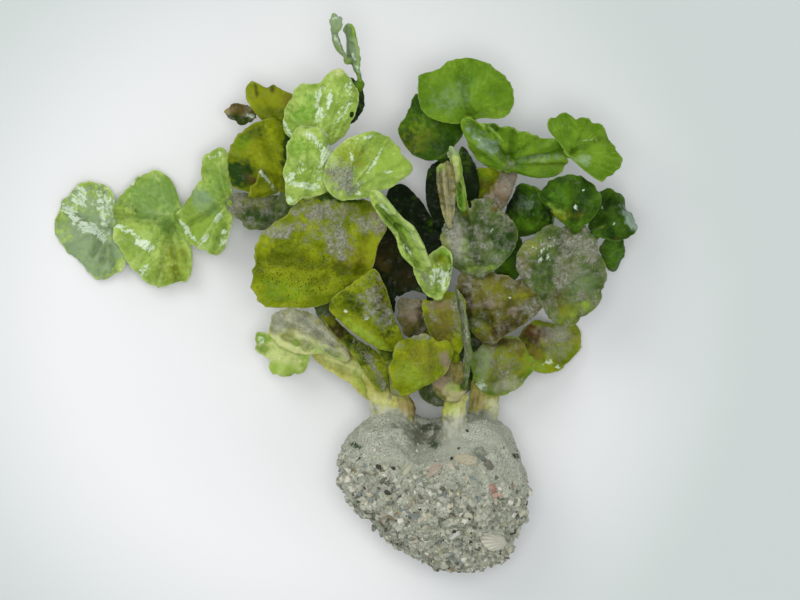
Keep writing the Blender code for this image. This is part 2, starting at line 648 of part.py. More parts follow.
def right_branch(laid):
    """From the right stem up through the crusted leaves to the far right."""
    grow(
        laid, "lower_right_inner_leaf", "stem_right", (29, -18.6), 14.4, MID_GREEN,
        flat_leaf([(25.2, -13), (28, -9.6), (32.6, -8), (36.2, -10.4), (37.8, -14.6),
                   (35.4, -18.6), (32.4, -20.5), (28.6, -21), (25.8, -18.6)],
                  cup=-0.4, wave=0.3, waves=4),
    )
    grow(
        laid, "lower_right_outer_leaf", "lower_right_inner_leaf", (35.8, -13), 6.4, OLIVE,
        flat_leaf([(35, -8.4), (38, -5.2), (41, -5.2), (43.4, -6.9), (46, -6.1), (47.1, -10),
                   (45.6, -13.8), (42.6, -16.1), (39.4, -16.3), (35.4, -14), (33, -11.4)],
                  wave=0.4, waves=5),
    )
    grow(
        laid, "right_brown_leaf", "lower_right_inner_leaf", (29.6, -9.4), 17.4, BROWN_CRUST,
        flat_leaf([(22.4, 4.4), (26, 5), (30, 3.8), (36, 2.6), (39.8, 0.4), (40.2, -2.4),
                   (37.6, -5.2), (33, -8), (28.8, -10.4), (25.2, -8), (23, -2)],
                  cup=-0.6, wave=0.4, waves=4),
    )
    grow(
        laid, "right_grey_leaf", "right_brown_leaf", (27, 4), 20.4, GREY_GREEN,
        flat_leaf([(20, 15.8), (22.2, 18), (27, 18.8), (31.4, 16.6), (34.2, 13.2), (34.6, 10.6),
                   (32.4, 6.4), (29.6, 4.2), (25.6, 3.2), (21, 5.4), (19.4, 10)],
                  cup=-0.6, wave=0.3, waves=4),
        thick=1.1,
    )
    grow(
        laid, "right_crusted_leaf", "right_brown_leaf", (39.4, -1.4), 20.0, GREY_GREEN,
        flat_leaf([(36.2, 10.6), (38.6, 12.4), (42, 13.8), (47, 13.6), (50.2, 12.2),
                   (51.1, 8.2), (52.1, 4), (51.8, -0.4), (49.6, -3.6), (45.6, -6.4),
                   (43, -6.9), (40.4, -5), (38.8, -1), (35.8, 2), (33.7, 5), (34.2, 8.6)],
                  cup=-0.8, wave=0.5, waves=4),
        thick=1.15,
    )
    grow(
        laid, "right_shiny_leaf", "right_crusted_leaf", (46, 13), 22.0, DARK_GREEN,
        flat_leaf([(37.9, 19.8), (39.4, 21.4), (42, 23), (45.2, 23.7), (48.4, 23.2), (51, 20.4),
                   (51.1, 17), (48.6, 13.8), (46, 12.3), (42.4, 14.6), (39.8, 17.4)],
                  cup=-0.8, wave=0.4, waves=4),
    )
    grow(
        laid, "right_back_leaf", "right_shiny_leaf", (41, 17.4), 15.0, DARK_GREEN,
        flat_leaf([(31.4, 14.6), (32.8, 18.8), (34.8, 22.2), (36.6, 22), (38.6, 21.2),
                   (41.4, 19), (42.4, 14.4), (40, 12), (36, 11.2), (32.8, 11.8)],
                  cup=-0.4, wave=0.3, waves=4),
    )
    grow(
        laid, "right_folded_leaf", "right_crusted_leaf", (50, 11.8), 15.0, DARK_GREEN,
        flat_leaf([(49.4, 19.6), (51.4, 21.4), (53.4, 20.6), (57, 17), (58.8, 13.8),
                   (58.6, 12.2), (56, 10.4), (51.6, 10.8), (48.6, 12), (49, 16.4)],
                  cup=-1.2, wave=0.4, waves=4),
    )
    grow(
        laid, "right_hanging_leaf", "right_folded_leaf", (53.4, 11.4), 9.0, DARK_GREEN,
        flat_leaf([(51.4, 10.4), (53.2, 11.8), (55.4, 11.6), (56.6, 9.6), (56, 6.4), (54.2, 4.4),
                   (52.2, 5.8), (50.8, 8.2)], cup=0.3),
    )
    grow(
        laid, "right_crusted_stalk", "right_grey_leaf", (29.6, 16.8), 17.6, BROWN_CRUST,
        flat_leaf([(31, 25.2), (33.2, 25.8), (34.7, 23.8), (33.8, 21), (32.6, 18.2), (31, 15.8),
                   (28.8, 15.4), (27.3, 17.2), (27.4, 19.4), (29.2, 20.8), (30.6, 22.6)],
                  cup=-0.4, wave=0.3, waves=5),
    )
    grow(
        laid, "right_olive_leaf", "right_crusted_stalk", (30.6, 22), 14.6, OLIVE,
        flat_leaf([(24.9, 22.4), (26, 24.8), (28.4, 25.6), (31, 25.2), (31.9, 22.6), (29.8, 19.6),
                   (27, 18), (25, 19)], cup=-0.3),
    )
    grow(
        laid, "upper_right_long_leaf", "right_crusted_stalk", (32.6, 25), 20.0, MID_GREEN,
        flat_leaf([(22.7, 34.8), (23.6, 31), (25.6, 27), (28, 25.2), (31, 24.2), (33, 24.6),
                   (35, 23.5), (39, 22.9), (43, 24.2), (45.3, 26.4), (44.6, 29.2), (41, 30.8),
                   (38, 31.3), (35.4, 32.7), (33.3, 32.3), (31, 33.9), (29, 33.5), (26, 35.2)],
                  cup=-0.6, wave=0.6, waves=6),
    )
    grow(
        laid, "upper_right_big_leaf", "upper_right_long_leaf", (24.6, 34.9), 19.4, MID_GREEN,
        flat_leaf([(21.4, 46.6), (24.6, 47.4), (28.2, 46.4), (30.2, 44.4), (32.4, 43.4),
                   (33.9, 39.6), (33.8, 36), (31, 34.5), (27, 35), (24.6, 33.8), (22, 33.7),
                   (18, 34.2), (14.8, 37.2), (13.9, 40.6), (15.6, 43.8), (19, 45.4)],
                  cup=-0.5, wave=0.5, waves=4),
    )
    grow(
        laid, "upper_right_outer_leaf", "upper_right_long_leaf", (44.6, 28), 22.5, MID_GREEN,
        flat_leaf([(40.2, 34.2), (41.6, 36), (43.8, 36.5), (45.6, 35.2), (48, 35.5),
                   (50.4, 34), (52.8, 30.2), (54.6, 28.5), (55.3, 26.8), (54, 23.4),
                   (51, 22.3), (47.6, 24.4), (44, 27.6), (42.4, 30.4), (40.6, 31.8)],
                  cup=-0.4, wave=0.5, waves=5),
    )
    grow(
        laid, "right_green_leaf", "right_grey_leaf", (30.6, 9.4), 16.4, DARK_GREEN,
        flat_leaf([(29.8, 12.6), (33.4, 13), (36, 9.4), (35.6, 4.6), (33.4, 2.4), (30.4, 3),
                   (28.6, 6), (28.6, 10)], cup=-0.2),
    )
    grow(
        laid, "right_tan_edge_leaf", "right_grey_leaf", (20.9, 13.4), 25.0, BROWN_CRUST,
        flat_leaf([(17.9, 24.6), (18.6, 25.9), (20.2, 25.9), (21.8, 25.4), (22.2, 22), (22, 18),
                   (21.8, 14.4), (20.9, 12.7), (19.8, 14), (19, 17.6), (18.2, 21.6)],
                  slope=(0.3, 0.0), cup=0.2),
        thick=1.1,
    )
    grow(
        laid, "right_green_edge_leaf", "right_grey_leaf", (23.6, 17), 22.4, YOUNG_GREEN,
        flat_leaf([(20.4, 28.2), (21, 29.5), (22.2, 29), (23.3, 26.6), (23.7, 22), (24.6, 17.6),
                   (23.4, 15.8), (22.2, 17), (21.9, 20.6), (21.4, 24.6)],
                  slope=(-0.3, 0.0), cup=-0.3),
    )
    grow(
        laid, "right_shade_leaf", "right_grey_leaf", (25, 17.6), 13.0, DARK_GREEN,
        flat_leaf([(23, 30), (25.6, 27.6), (26.8, 24), (26.9, 20), (26.2, 17), (24.6, 16),
                   (23.2, 16.6), (22.6, 22.6)], cup=-0.2),
    )
    grow(
        laid, "centre_under_leaf", "stem_right", (28, -16.4), 9.0, GREY_GREEN,
        flat_leaf([(17.6, -3), (23, 0.4), (29, -1), (32, -7.4), (30, -16), (26.6, -18.4),
                   (20.4, -23), (17, -23.2), (14.6, -20.6), (15.6, -14.6), (16.4, -8.4)],
                  cup=-0.5, wave=0.2, waves=3),
    )


def main():
    clear_scene()
    laid = {"holdfast": Piece(holdfast(STEMS)).widened()}
    for name, stations in STEMS.items():
        laid[name] = Piece(stem(name, stations, PALE_STEM)).widened()
    middle_branch(laid)
    left_olive_branch(laid)
    right_branch(laid)
    left_low_branch(laid)


main()
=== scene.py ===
# %% [markdown]
# # A halimeda seaweed, lying where it was put down
# Halimeda is a green seaweed that stiffens itself with chalk. Its body is a
# chain of flat, fan-shaped leaves joined by small soft joints, and it holds on
# with a ball of sand bound by fine roots. The solids of all these pieces are
# loaded first. Everything after that gives them their living surface.

# %% Load the solids
import json
import math

import bpy
import numpy as np
from mathutils import Matrix, Vector, noise
from mathutils.bvhtree import BVHTree

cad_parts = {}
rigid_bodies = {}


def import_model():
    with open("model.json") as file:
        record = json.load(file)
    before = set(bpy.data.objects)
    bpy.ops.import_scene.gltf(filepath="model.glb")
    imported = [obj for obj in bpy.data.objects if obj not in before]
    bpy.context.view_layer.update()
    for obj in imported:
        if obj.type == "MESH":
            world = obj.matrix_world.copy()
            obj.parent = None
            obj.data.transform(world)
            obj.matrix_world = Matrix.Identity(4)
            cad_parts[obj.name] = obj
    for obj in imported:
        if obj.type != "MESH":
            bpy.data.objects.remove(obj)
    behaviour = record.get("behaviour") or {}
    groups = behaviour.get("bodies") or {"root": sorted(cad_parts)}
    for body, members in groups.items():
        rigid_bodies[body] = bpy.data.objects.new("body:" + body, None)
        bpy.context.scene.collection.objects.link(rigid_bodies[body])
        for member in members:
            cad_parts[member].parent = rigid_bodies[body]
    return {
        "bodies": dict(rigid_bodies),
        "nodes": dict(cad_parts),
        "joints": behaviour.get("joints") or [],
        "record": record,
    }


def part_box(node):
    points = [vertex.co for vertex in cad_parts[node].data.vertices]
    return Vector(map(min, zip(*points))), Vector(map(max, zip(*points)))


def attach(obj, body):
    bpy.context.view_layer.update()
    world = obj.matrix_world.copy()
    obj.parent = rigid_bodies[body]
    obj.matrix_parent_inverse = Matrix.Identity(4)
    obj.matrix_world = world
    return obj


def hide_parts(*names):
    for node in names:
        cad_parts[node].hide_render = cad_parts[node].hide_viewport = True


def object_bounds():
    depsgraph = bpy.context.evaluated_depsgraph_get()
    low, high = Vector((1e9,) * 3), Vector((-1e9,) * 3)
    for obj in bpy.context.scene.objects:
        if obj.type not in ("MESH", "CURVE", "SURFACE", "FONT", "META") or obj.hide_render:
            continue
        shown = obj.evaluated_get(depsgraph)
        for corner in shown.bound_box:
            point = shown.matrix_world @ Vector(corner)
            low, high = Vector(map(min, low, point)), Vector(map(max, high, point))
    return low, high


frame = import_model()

NODES = frame["nodes"]
SLOTS = {row["node"]: row["material_slot"] for row in frame["record"]["subparts"]}
CAD_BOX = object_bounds()
print(len(NODES), "solids, in the box", CAD_BOX)

# %% [markdown]
# Sizes below are in millimetres, because a leaf is a few of them across. The
# frame is in metres, so every length is multiplied by MM where it is used.

# %% Helpers for working by hand
MM = 0.001
MERGE = 0.01 * MM
SEED_STEPS = (7.31, 3.17, 5.73)  # how far on in the noise each next seed looks


def only(*pieces):
    """Selects some pieces and nothing else. The first is the active one."""
    bpy.ops.object.select_all(action="DESELECT")
    for piece in pieces:
        piece.select_set(True)
    bpy.context.view_layer.objects.active = pieces[0]


def added(primitive, **settings):
    """Adds one of the basic shapes, selected alone."""
    bpy.ops.object.select_all(action="DESELECT")
    primitive(**settings)
    return bpy.context.object


def edit_all(piece):
    """Opens a piece in edit mode with all of it selected."""
    only(piece)
    bpy.ops.object.mode_set(mode="EDIT")
    bpy.ops.mesh.select_all(action="SELECT")


def apply_modifier(piece, modifier):
    only(piece)
    bpy.ops.object.modifier_apply(modifier=modifier.name)


def points_of(piece):
    """The places of a piece's vertices, in millimetres, one row each."""
    places = np.zeros(len(piece.data.vertices) * 3)
    piece.data.vertices.foreach_get("co", places)
    return places.reshape(-1, 3) / MM


def set_points(piece, points):
    low, high = np.array(CAD_BOX[0]) / MM, np.array(CAD_BOX[1]) / MM
    inside = np.clip(points, low, high)
    piece.data.vertices.foreach_set("co", (inside * MM).ravel())
    piece.data.update()


def taken_out(piece):
    """Closes a shape that is in edit mode and takes it away. Gives its points and faces."""
    bpy.ops.object.mode_set(mode="OBJECT")
    shape = points_of(piece), [tuple(face.vertices) for face in piece.data.polygons]
    bpy.data.objects.remove(piece)
    return shape


def set_values(piece, name, kind, values):
    """Keeps a value for every vertex, which the materials read by its name."""
    field = {"FLOAT": "value", "FLOAT_VECTOR": "vector", "FLOAT_COLOR": "color"}[kind]
    attribute = piece.data.attributes.new(name, kind, "POINT")
    attribute.data.foreach_set(field, np.asarray(values, np.float32).ravel())


def lumps(points, size, seed=0.0):
    """Smooth random lumps of about a size at each point, from -1 to 1."""
    shift = Vector([seed * step for step in SEED_STEPS])
    return np.array([noise.noise(Vector(p) / size + shift) for p in points])


def hidden_shape(node):
    """A tree of a solid's faces, to find places on it."""
    mesh = NODES[node].data
    corners = [v.co / MM for v in mesh.vertices]
    return BVHTree.FromPolygons(corners, [p.vertices[:] for p in mesh.polygons])


TREES = {node: hidden_shape(node) for node in NODES}
print(len(TREES), "solids can be searched")

# %% [markdown]
# The camera looks straight down, as the photographer did. A long lens far away
# keeps the tall ball of sand and the low leaves at one scale.

# %% Camera
VIEW_MIDDLE = (11.0, -1.4)  # where the picture's middle falls
VIEW_WIDTH = 160.0
CAMERA_HEIGHT = 1400.0
LEAF_LEVEL = 16.0  # the height that is to measure VIEW_WIDTH across
SENSOR = 36.0

lens = bpy.data.cameras.new("camera")
lens.sensor_width = SENSOR
lens.lens = SENSOR * (CAMERA_HEIGHT - LEAF_LEVEL) / VIEW_WIDTH
lens.clip_start = 0.05
lens.clip_end = 10.0
camera = bpy.data.objects.new("camera", lens)
camera.location = (VIEW_MIDDLE[0] * MM, VIEW_MIDDLE[1] * MM, CAMERA_HEIGHT * MM)
bpy.context.scene.collection.objects.link(camera)
bpy.context.scene.camera = camera
print("lens", round(lens.lens), "mm")

# %% [markdown]
# The plant lies on a pale, faintly blue table in soft light. A wide lamp up and
# to the left is the window, which gives the soft shadows. A stronger one overhead
# keeps them light and shines in the wet film, and a third, low one lights the
# right sides.

# %% Table and light
SKY_COLOUR = (0.9, 0.95, 1.0, 1.0)
SKY_STRENGTH = 0.5
TABLE_SIZE = 6.0  # in metres
TABLE_GAP = 0.05
LAMPS = (
    # name, place, size, watts, colour
    ("window", (-360.0, 340.0, 640.0), 480.0, 1.9, (1.0, 0.985, 0.95)),
    ("ceiling", (40.0, -30.0, 900.0), 420.0, 3.0, (1.0, 1.0, 0.98)),
    ("room", (700.0, -300.0, 500.0), 500.0, 0.8, (0.95, 0.98, 1.0)),
)
bpy.context.scene.view_settings.view_transform = "Standard"

under = (0.0, 0.0, -TABLE_GAP * MM)
table = added(bpy.ops.mesh.primitive_plane_add, size=TABLE_SIZE, location=under)
table.name = "table"

world = bpy.data.worlds.new("sky")
world.use_nodes = True
world.node_tree.nodes["Background"].inputs["Color"].default_value = SKY_COLOUR
world.node_tree.nodes["Background"].inputs["Strength"].default_value = SKY_STRENGTH
bpy.context.scene.world = world

for name, place, size, watts, colour in LAMPS:
    light = bpy.data.lights.new(name, "AREA")
    light.shape = "SQUARE"
    light.size = size * MM
    light.energy = watts
    light.color = colour
    lamp = bpy.data.objects.new(name, light)
    lamp.location = Vector(place) * MM
    lamp.rotation_euler = lamp.location.to_track_quat("Z", "Y").to_euler()
    bpy.context.scene.collection.objects.link(lamp)
print(len(LAMPS), "lamps")

# %% [markdown]
# ## Finishes
# A material could be painted by hand, but every leaf would need its own
# picture. Here the colours come from nodes, and the leaves only carry a few
# values at each vertex: how near it is to the rim, where it lies in the fan,
# and how much crust, stain or speckling has grown there.

# %% Helpers for node trees
def srgb(red, green, blue):
    """A colour as seen on a screen, from 0 to 255, in the units that nodes use."""
    parts = []
    for part in (red, green, blue):
        share = part / 255
        parts.append(share / 12.92 if share <= 0.04045 else ((share + 0.055) / 1.055) ** 2.4)
    return (*parts, 1.0)


class Tree:
    """A node tree that is built by calls, each with its settings and its inputs."""

    def __init__(self, tree):
        self.tree = tree

    def fill(self, node, inputs):
        """Links or sets some inputs of a node, and gives its outputs."""
        for name, value in inputs.items():
            if isinstance(value, bpy.types.NodeSocket):
                self.tree.links.new(value, node.inputs[name])
            else:
                node.inputs[name].default_value = value
        return node.outputs

    def add(self, kind, inputs=None, **settings):
        made = self.tree.nodes.new("ShaderNode" + kind)
        for name, value in settings.items():
            setattr(made, name, value)
        return self.fill(made, inputs or {})

    def group(self, group, **inputs):
        """Places a node group with its own values."""
        return self.add("Group", inputs, node_tree=group)

    def value(self, name):
        """What is kept at each vertex: 0 is its colour, 1 a vector, 2 a number and 3 its cover."""
        return self.add("Attribute", attribute_name=name)

    def math(self, operation, first, second=0.0):
        return self.add("Math", {0: first, 1: second}, operation=operation)[0]

    def mix(self, share, first, second, blend="MIX"):
        inputs = {0: share, 6: first, 7: second}
        return self.add("Mix", inputs, data_type="RGBA", blend_type=blend)[2]

    def stretch(self, value, low, high, to_low=0.0, to_high=1.0):
        """Takes a range of a value smoothly to another range, and stops at its ends."""
        inputs = {"Value": value, "From Min": low, "From Max": high}
        inputs.update({"To Min": to_low, "To Max": to_high})
        return self.add("MapRange", inputs, interpolation_type="SMOOTHSTEP")[0]

    def lumps(self, size, detail=2.0, place=None, rough=0.5):
        """Noise with lumps of about a size in millimetres, or in units of the place given."""
        if place is None:
            place = self.add("TexCoord")["Object"]
            size *= MM
        inputs = {"Vector": place, "Scale": 1 / size, "Detail": detail, "Roughness": rough}
        return self.add("TexNoise", inputs)[0]

    def cells(self, size):
        """How far it is to the middle of the nearest of many cells of about a size."""
        place = self.add("TexCoord")["Object"]
        return self.add("TexVoronoi", {"Vector": place, "Scale": 1 / (size * MM)})["Distance"]


def new_material(name):
    """A material, its node tree and its skin node."""
    material = bpy.data.materials.new(name)
    material.use_nodes = True
    return material, Tree(material.node_tree), material.node_tree.nodes["Principled BSDF"]


def new_group(name, inputs, outputs):
    """A shader node group with named colour or number sockets."""
    group = bpy.data.node_groups.new(name, "ShaderNodeTree")
    for direction, sockets in (("INPUT", inputs), ("OUTPUT", outputs)):
        for socket, kind in sockets.items():
            group.interface.new_socket(socket, in_out=direction, socket_type="NodeSocket" + kind)
    return group, Tree(group), group.nodes.new("NodeGroupInput").outputs


def finish_group(group, results):
    out = group.nodes.new("NodeGroupOutput")
    for name, socket in results.items():
        group.links.new(socket, out.inputs[name])


print("helpers ready")

# %% [markdown]
# The table's colour is painted brightest under the plant, as a pool of light, and
# painted a little dimmer towards the picture's edges, most of all on its right.

# %% Table finish
TABLE_PAINTED_LIT = (0.84, 0.835, 0.84, 1.0)
TABLE_PAINTED_DIM = (0.57, 0.615, 0.595, 1.0)
PAINTED_LIGHT_MIDDLE = (-7.0 * MM, -5.4 * MM, 0.0)
DIM_FROM, DIM_TO = 45.0 * MM, 95.0 * MM  # how far from there it starts to dim, and is dimmest
TABLE_ROUGHNESS = 0.6

table_finish, tree, skin = new_material("table")
ends = {0: tree.add("TexCoord")["Object"], 1: PAINTED_LIGHT_MIDDLE}
away = tree.add("VectorMath", ends, operation="DISTANCE")["Value"]
# Painted light: the table's colour fades from lit under the plant to dim at the edges.
colour = tree.mix(tree.stretch(away, DIM_FROM, DIM_TO), TABLE_PAINTED_LIT, TABLE_PAINTED_DIM)
tree.fill(skin, {"Base Color": colour, "Roughness": TABLE_ROUGHNESS})
table.data.materials.append(table_finish)
print("the table is finished")

# %% [markdown]
# The colour of a living leaf runs from young to old green in soft clouds, with
# fine pale streaks that spread from its joint like the ribs of a fan. Its rim
# is chalky and pale. Stains and specks are laid over that where a leaf has them.
# Then shade is painted into its deep furrows, and a pale highlight onto its ridges.

# %% Node group: the colour of a leaf
SPECK = srgb(46, 58, 12)
# Painted shade: deep furrows are darkened by multiplying their colour by this.
PAINTED_FURROW_SHADE = (0.3, 0.34, 0.2, 1.0)  # what the colour is multiplied by in deep furrows

LEAF_COLOUR, tree, given = new_group(
    "leaf colour", {"Young": "Color", "Old": "Color", "Rim": "Color"}, {"Color": "Color"}
)
fan = tree.value("fan")[1]
clouds = tree.stretch(tree.lumps(4.0, 3.0), 0.3, 0.7)
colour = tree.mix(clouds, given["Young"], given["Old"])
ribs = tree.stretch(tree.lumps(0.16, 2.0, fan), 0.5, 0.8, 0.0, 0.28)
colour = tree.mix(ribs, colour, given["Rim"])
mottle = tree.stretch(tree.lumps(0.9, 5.0, rough=0.7), 0.38, 0.68, 0.0, 0.6)
colour = tree.mix(mottle, colour, given["Old"])
flecks = tree.stretch(tree.lumps(0.4, 3.0, rough=0.6), 0.55, 0.75, 0.0, 0.25)
colour = tree.mix(flecks, colour, given["Rim"])
tint = tree.value("tint")
ragged = tree.stretch(tree.lumps(0.9, 4.0, rough=0.65), 0.2, 0.8, -0.25, 0.25)
edge = tree.math("ADD", tint[3], ragged)
colour = tree.mix(tree.stretch(edge, 0.08, 0.95), colour, tint[0])
dots = tree.stretch(tree.cells(0.45), 0.42, 0.15, 0.0, 0.9)
specks = tree.math("MULTIPLY", dots, tree.value("specks")[2])
colour = tree.mix(specks, colour, SPECK)
uneven = tree.stretch(tree.lumps(0.8, 3.0), 0.0, 1.0, -0.4, 0.4)
relief = tree.math("ADD", tree.value("relief")[2], uneven)
# Painted shade in the furrows, and a painted highlight that pales the ridges towards the rim colour.
colour = tree.mix(tree.stretch(relief, -0.1, -1.0, 0.0, 0.6), colour, PAINTED_FURROW_SHADE, "MULTIPLY")
colour = tree.mix(tree.stretch(relief, 0.3, 1.1, 0.0, 0.35), colour, given["Rim"])
broken = tree.stretch(tree.lumps(1.2, 2.0), 0.3, 0.6, 0.25, 0.85)
rim = tree.math("MULTIPLY", tree.stretch(tree.value("rim")[2], 0.3, 1.0), broken)
colour = tree.mix(rim, colour, given["Rim"])
finish_group(LEAF_COLOUR, {"Color": colour})
print(LEAF_COLOUR.name)

# %% [markdown]
# Old leaves are overgrown with a lilac-grey crust of silt and fine chalky
# algae. It is grainy and dull, so the group gives a colour, a height for the
# bump, and a mask that the material also uses to dull the wet shine.

# %% Node group: the crust on old leaves
WARM_SILT = srgb(126, 104, 78)
CHALK = srgb(214, 214, 204)

CRUST, tree, given = new_group(
    "crust", {"Pale": "Color", "Dark": "Color"},
    {"Color": "Color", "Mask": "Float", "Height": "Float"},
)
grains = tree.lumps(0.5, 5.0, rough=0.6)
colour = tree.mix(tree.stretch(grains, 0.3, 0.72), given["Dark"], given["Pale"])
warm = tree.stretch(tree.lumps(2.2, 3.0), 0.5, 0.68, 0.0, 0.4)
colour = tree.mix(warm, colour, WARM_SILT)
sparks = tree.stretch(tree.cells(0.7), 0.24, 0.1, 0.0, 0.6)
colour = tree.mix(sparks, colour, CHALK)
drift = tree.stretch(tree.lumps(1.5, 6.0, rough=0.62), 0.25, 0.75, -0.45, 0.45)
amount = tree.math("ADD", tree.value("crust")[2], drift)
mask = tree.stretch(amount, 0.15, 1.2, 0.0, 0.88)
height = tree.math("MULTIPLY", grains, mask)
finish_group(CRUST, {"Color": colour, "Mask": mask, "Height": height})
print(CRUST.name)

# %% [markdown]
# The plant has just come out of the water. A thin film fills the fine pits and
# breaks the light into small bright patches. This group gives the height of
# the skin, and tells where the film lies. Where it lies, the leaf material both
# shines and has a pale highlight painted into its colour.

# %% Node group: wet skin
WET_SKIN, tree, given = new_group(
    "wet skin", {"Wrinkles": "Float"}, {"Height": "Float", "Film": "Float"}
)
fan = tree.value("fan")[1]
pits = tree.lumps(0.45, 3.0, rough=0.6)
wrinkles = tree.lumps(1.7, 3.0)
ribs = tree.lumps(0.12, 2.0, fan)
height = tree.math("ADD", tree.math("MULTIPLY", wrinkles, given["Wrinkles"]), pits)
height = tree.math("ADD", height, ribs)
broken = tree.stretch(tree.lumps(0.8, 4.0, rough=0.65), 0.25, 0.75, -0.45, 0.45)
streaks = tree.stretch(tree.lumps(0.07, 2.0, fan), 0.3, 0.7, -0.24, 0.24)
wet = tree.math("ADD", tree.value("film")[2], tree.math("ADD", broken, streaks))
film = tree.stretch(wet, 0.55, 1.0)
finish_group(WET_SKIN, {"Height": height, "Film": film})
print(WET_SKIN.name)

# %% [markdown]
# Each kind of leaf is one material: the three groups feed a Principled BSDF,
# whose coat is the film of water. Where the film lies, a pale highlight is also
# painted into the base colour.

# %% Leaf materials
LEAF_KINDS = {
    # slot: young, old, rim, roughness, coat, wrinkles
    "young_green": ((176, 202, 98), (124, 154, 52), (216, 230, 154), 0.45, 0.3, 3.0),
    "mid_green": ((114, 148, 34), (78, 114, 14), (154, 186, 80), 0.6, 0.04, 1.6),
    "dark_green": ((72, 108, 10), (30, 58, 4), (98, 132, 34), 0.5, 0.08, 1.6),
    "olive": ((144, 156, 16), (96, 112, 2), (168, 172, 74), 0.6, 0.04, 1.8),
    "grey_green": ((104, 122, 64), (62, 82, 30), (136, 146, 90), 0.65, 0.04, 1.6),
    "brown_crust": ((118, 114, 42), (72, 70, 18), (150, 144, 92), 0.7, 0.03, 1.6),
    "pale_stem": ((202, 202, 116), (154, 152, 66), (214, 216, 146), 0.65, 0.05, 1.4),
}
CRUST_PALE = srgb(174, 174, 162)
CRUST_DARK = srgb(112, 112, 90)
# Painted highlight: the pale colour that the wet film paints into a leaf, and how much of it.
PAINTED_FILM_HIGHLIGHT = srgb(222, 236, 214)
PAINTED_HIGHLIGHT_COVER = 0.68
FILM_SHINE = 0.8
CRUST_ROUGHNESS = 0.9
CRUST_RELIEF = 4.0
SKIN_RELIEF = 0.11
MILKINESS = 0.06  # of the usual mirror-like reflection, which would veil the deep greens
DULLED = 0.12  # how much of its shine a leaf keeps under thick crust
WATER_ROUGHNESS = 0.12
WATER_BENDING = 1.33


def leaf_material(slot, young, old, rim, roughness, coat, wrinkles):
    material, tree, skin = new_material(slot)
    living = tree.group(LEAF_COLOUR, Young=srgb(*young), Old=srgb(*old), Rim=srgb(*rim))["Color"]
    crust = tree.group(CRUST, Pale=CRUST_PALE, Dark=CRUST_DARK)
    wet = tree.group(WET_SKIN, Wrinkles=wrinkles)
    # Painted highlight: the pale film colour is mixed into the leaf's colour where the wet film lies.
    living = tree.mix(tree.math("MULTIPLY", wet["Film"], PAINTED_HIGHLIGHT_COVER), living, PAINTED_FILM_HIGHLIGHT)
    height = tree.math("ADD", wet["Height"], tree.math("MULTIPLY", crust["Height"], CRUST_RELIEF))
    bump = tree.add("Bump", {"Height": height, "Distance": SKIN_RELIEF * MM, "Strength": 1.0})
    own_shine = tree.stretch(crust["Mask"], 0.0, 1.0, coat, DULLED * coat)
    shine = tree.math("ADD", tree.math("MULTIPLY", wet["Film"], FILM_SHINE), own_shine)
    tree.fill(skin, {
        "Base Color": tree.mix(crust["Mask"], living, crust["Color"]),
        "Roughness": tree.stretch(crust["Mask"], 0.0, 1.0, roughness, CRUST_ROUGHNESS),
        "Coat Weight": shine,
        "Coat Roughness": WATER_ROUGHNESS,
        "Coat IOR": WATER_BENDING,
        "Specular IOR Level": MILKINESS,
        "Normal": bump[0],
    })
    return material


MATERIALS = {slot: leaf_material(slot, *values) for slot, values in LEAF_KINDS.items()}
print(len(MATERIALS), "leaf materials")

# %% [markdown]
# ## From solid to leaf
# A leaf could be modelled from a plane, but its solid already has the right
# outline, place and tilt. So each leaf starts as a copy of its solid. The loose
# triangles are merged and made quads. An inset a little way in from the rim
# keeps the outline crisp, and subdivision then rounds all the rest.

# %% Copy, merge, inset and round a solid
ROUNDING = 2  # levels of subdivision
RIM_INSET = 0.3
FACING = 0.55  # a face that faces across the leaf more than this is not on its rim
QUAD_FLATNESS = math.radians(50)
QUAD_SHAPE = math.radians(70)


def merged_copy(node):
    """A copy of a solid's mesh, with its loose triangles merged into quads."""
    piece = bpy.data.objects.new(node + "_grown", NODES[node].data.copy())
    bpy.context.scene.collection.objects.link(piece)
    piece.data.materials.clear()
    edit_all(piece)
    bpy.ops.mesh.remove_doubles(threshold=MERGE)
    bpy.ops.mesh.tris_convert_to_quads(face_threshold=QUAD_FLATNESS, shape_threshold=QUAD_SHAPE)
    bpy.ops.object.mode_set(mode="OBJECT")
    return piece


def across_direction(points):
    """The direction across a flat leaf's thickness, pointing up."""
    across = np.linalg.svd(points - points.mean(axis=0), full_matrices=False)[2][2]
    return across if across[2] > 0 else -across


def select_faces(piece, wanted):
    """Opens a piece in edit mode with some of its faces selected, by their normal."""
    only(piece)
    bpy.ops.object.mode_set(mode="EDIT")
    bpy.ops.mesh.select_mode(type="FACE")
    bpy.ops.mesh.select_all(action="DESELECT")
    bpy.ops.object.mode_set(mode="OBJECT")
    for face in piece.data.polygons:
        face.select = wanted(face)
    bpy.ops.object.mode_set(mode="EDIT")


def rounded(piece, inset=True):
    if inset:
        across = Vector(across_direction(points_of(piece)))
        select_faces(piece, lambda face: abs(face.normal.dot(across)) > FACING)
        bpy.ops.mesh.inset(thickness=RIM_INSET * MM, depth=0.0, use_boundary=True)
        bpy.ops.object.mode_set(mode="OBJECT")
    soft = piece.modifiers.new("rounding", "SUBSURF")
    soft.levels = ROUNDING
    soft.render_levels = ROUNDING
    apply_modifier(piece, soft)


def remeshed(piece, voxel, smoothing=2):
    """Fuses all that a piece is made of into one even skin, and smooths it a little."""
    skin = piece.modifiers.new("skin", "REMESH")
    skin.mode = "VOXEL"
    skin.voxel_size = voxel * MM
    skin.use_smooth_shade = True
    apply_modifier(piece, skin)
    edit_all(piece)
    bpy.ops.mesh.vertices_smooth(factor=0.5, repeat=smoothing)
    bpy.ops.object.mode_set(mode="OBJECT")


print("solids can be copied")

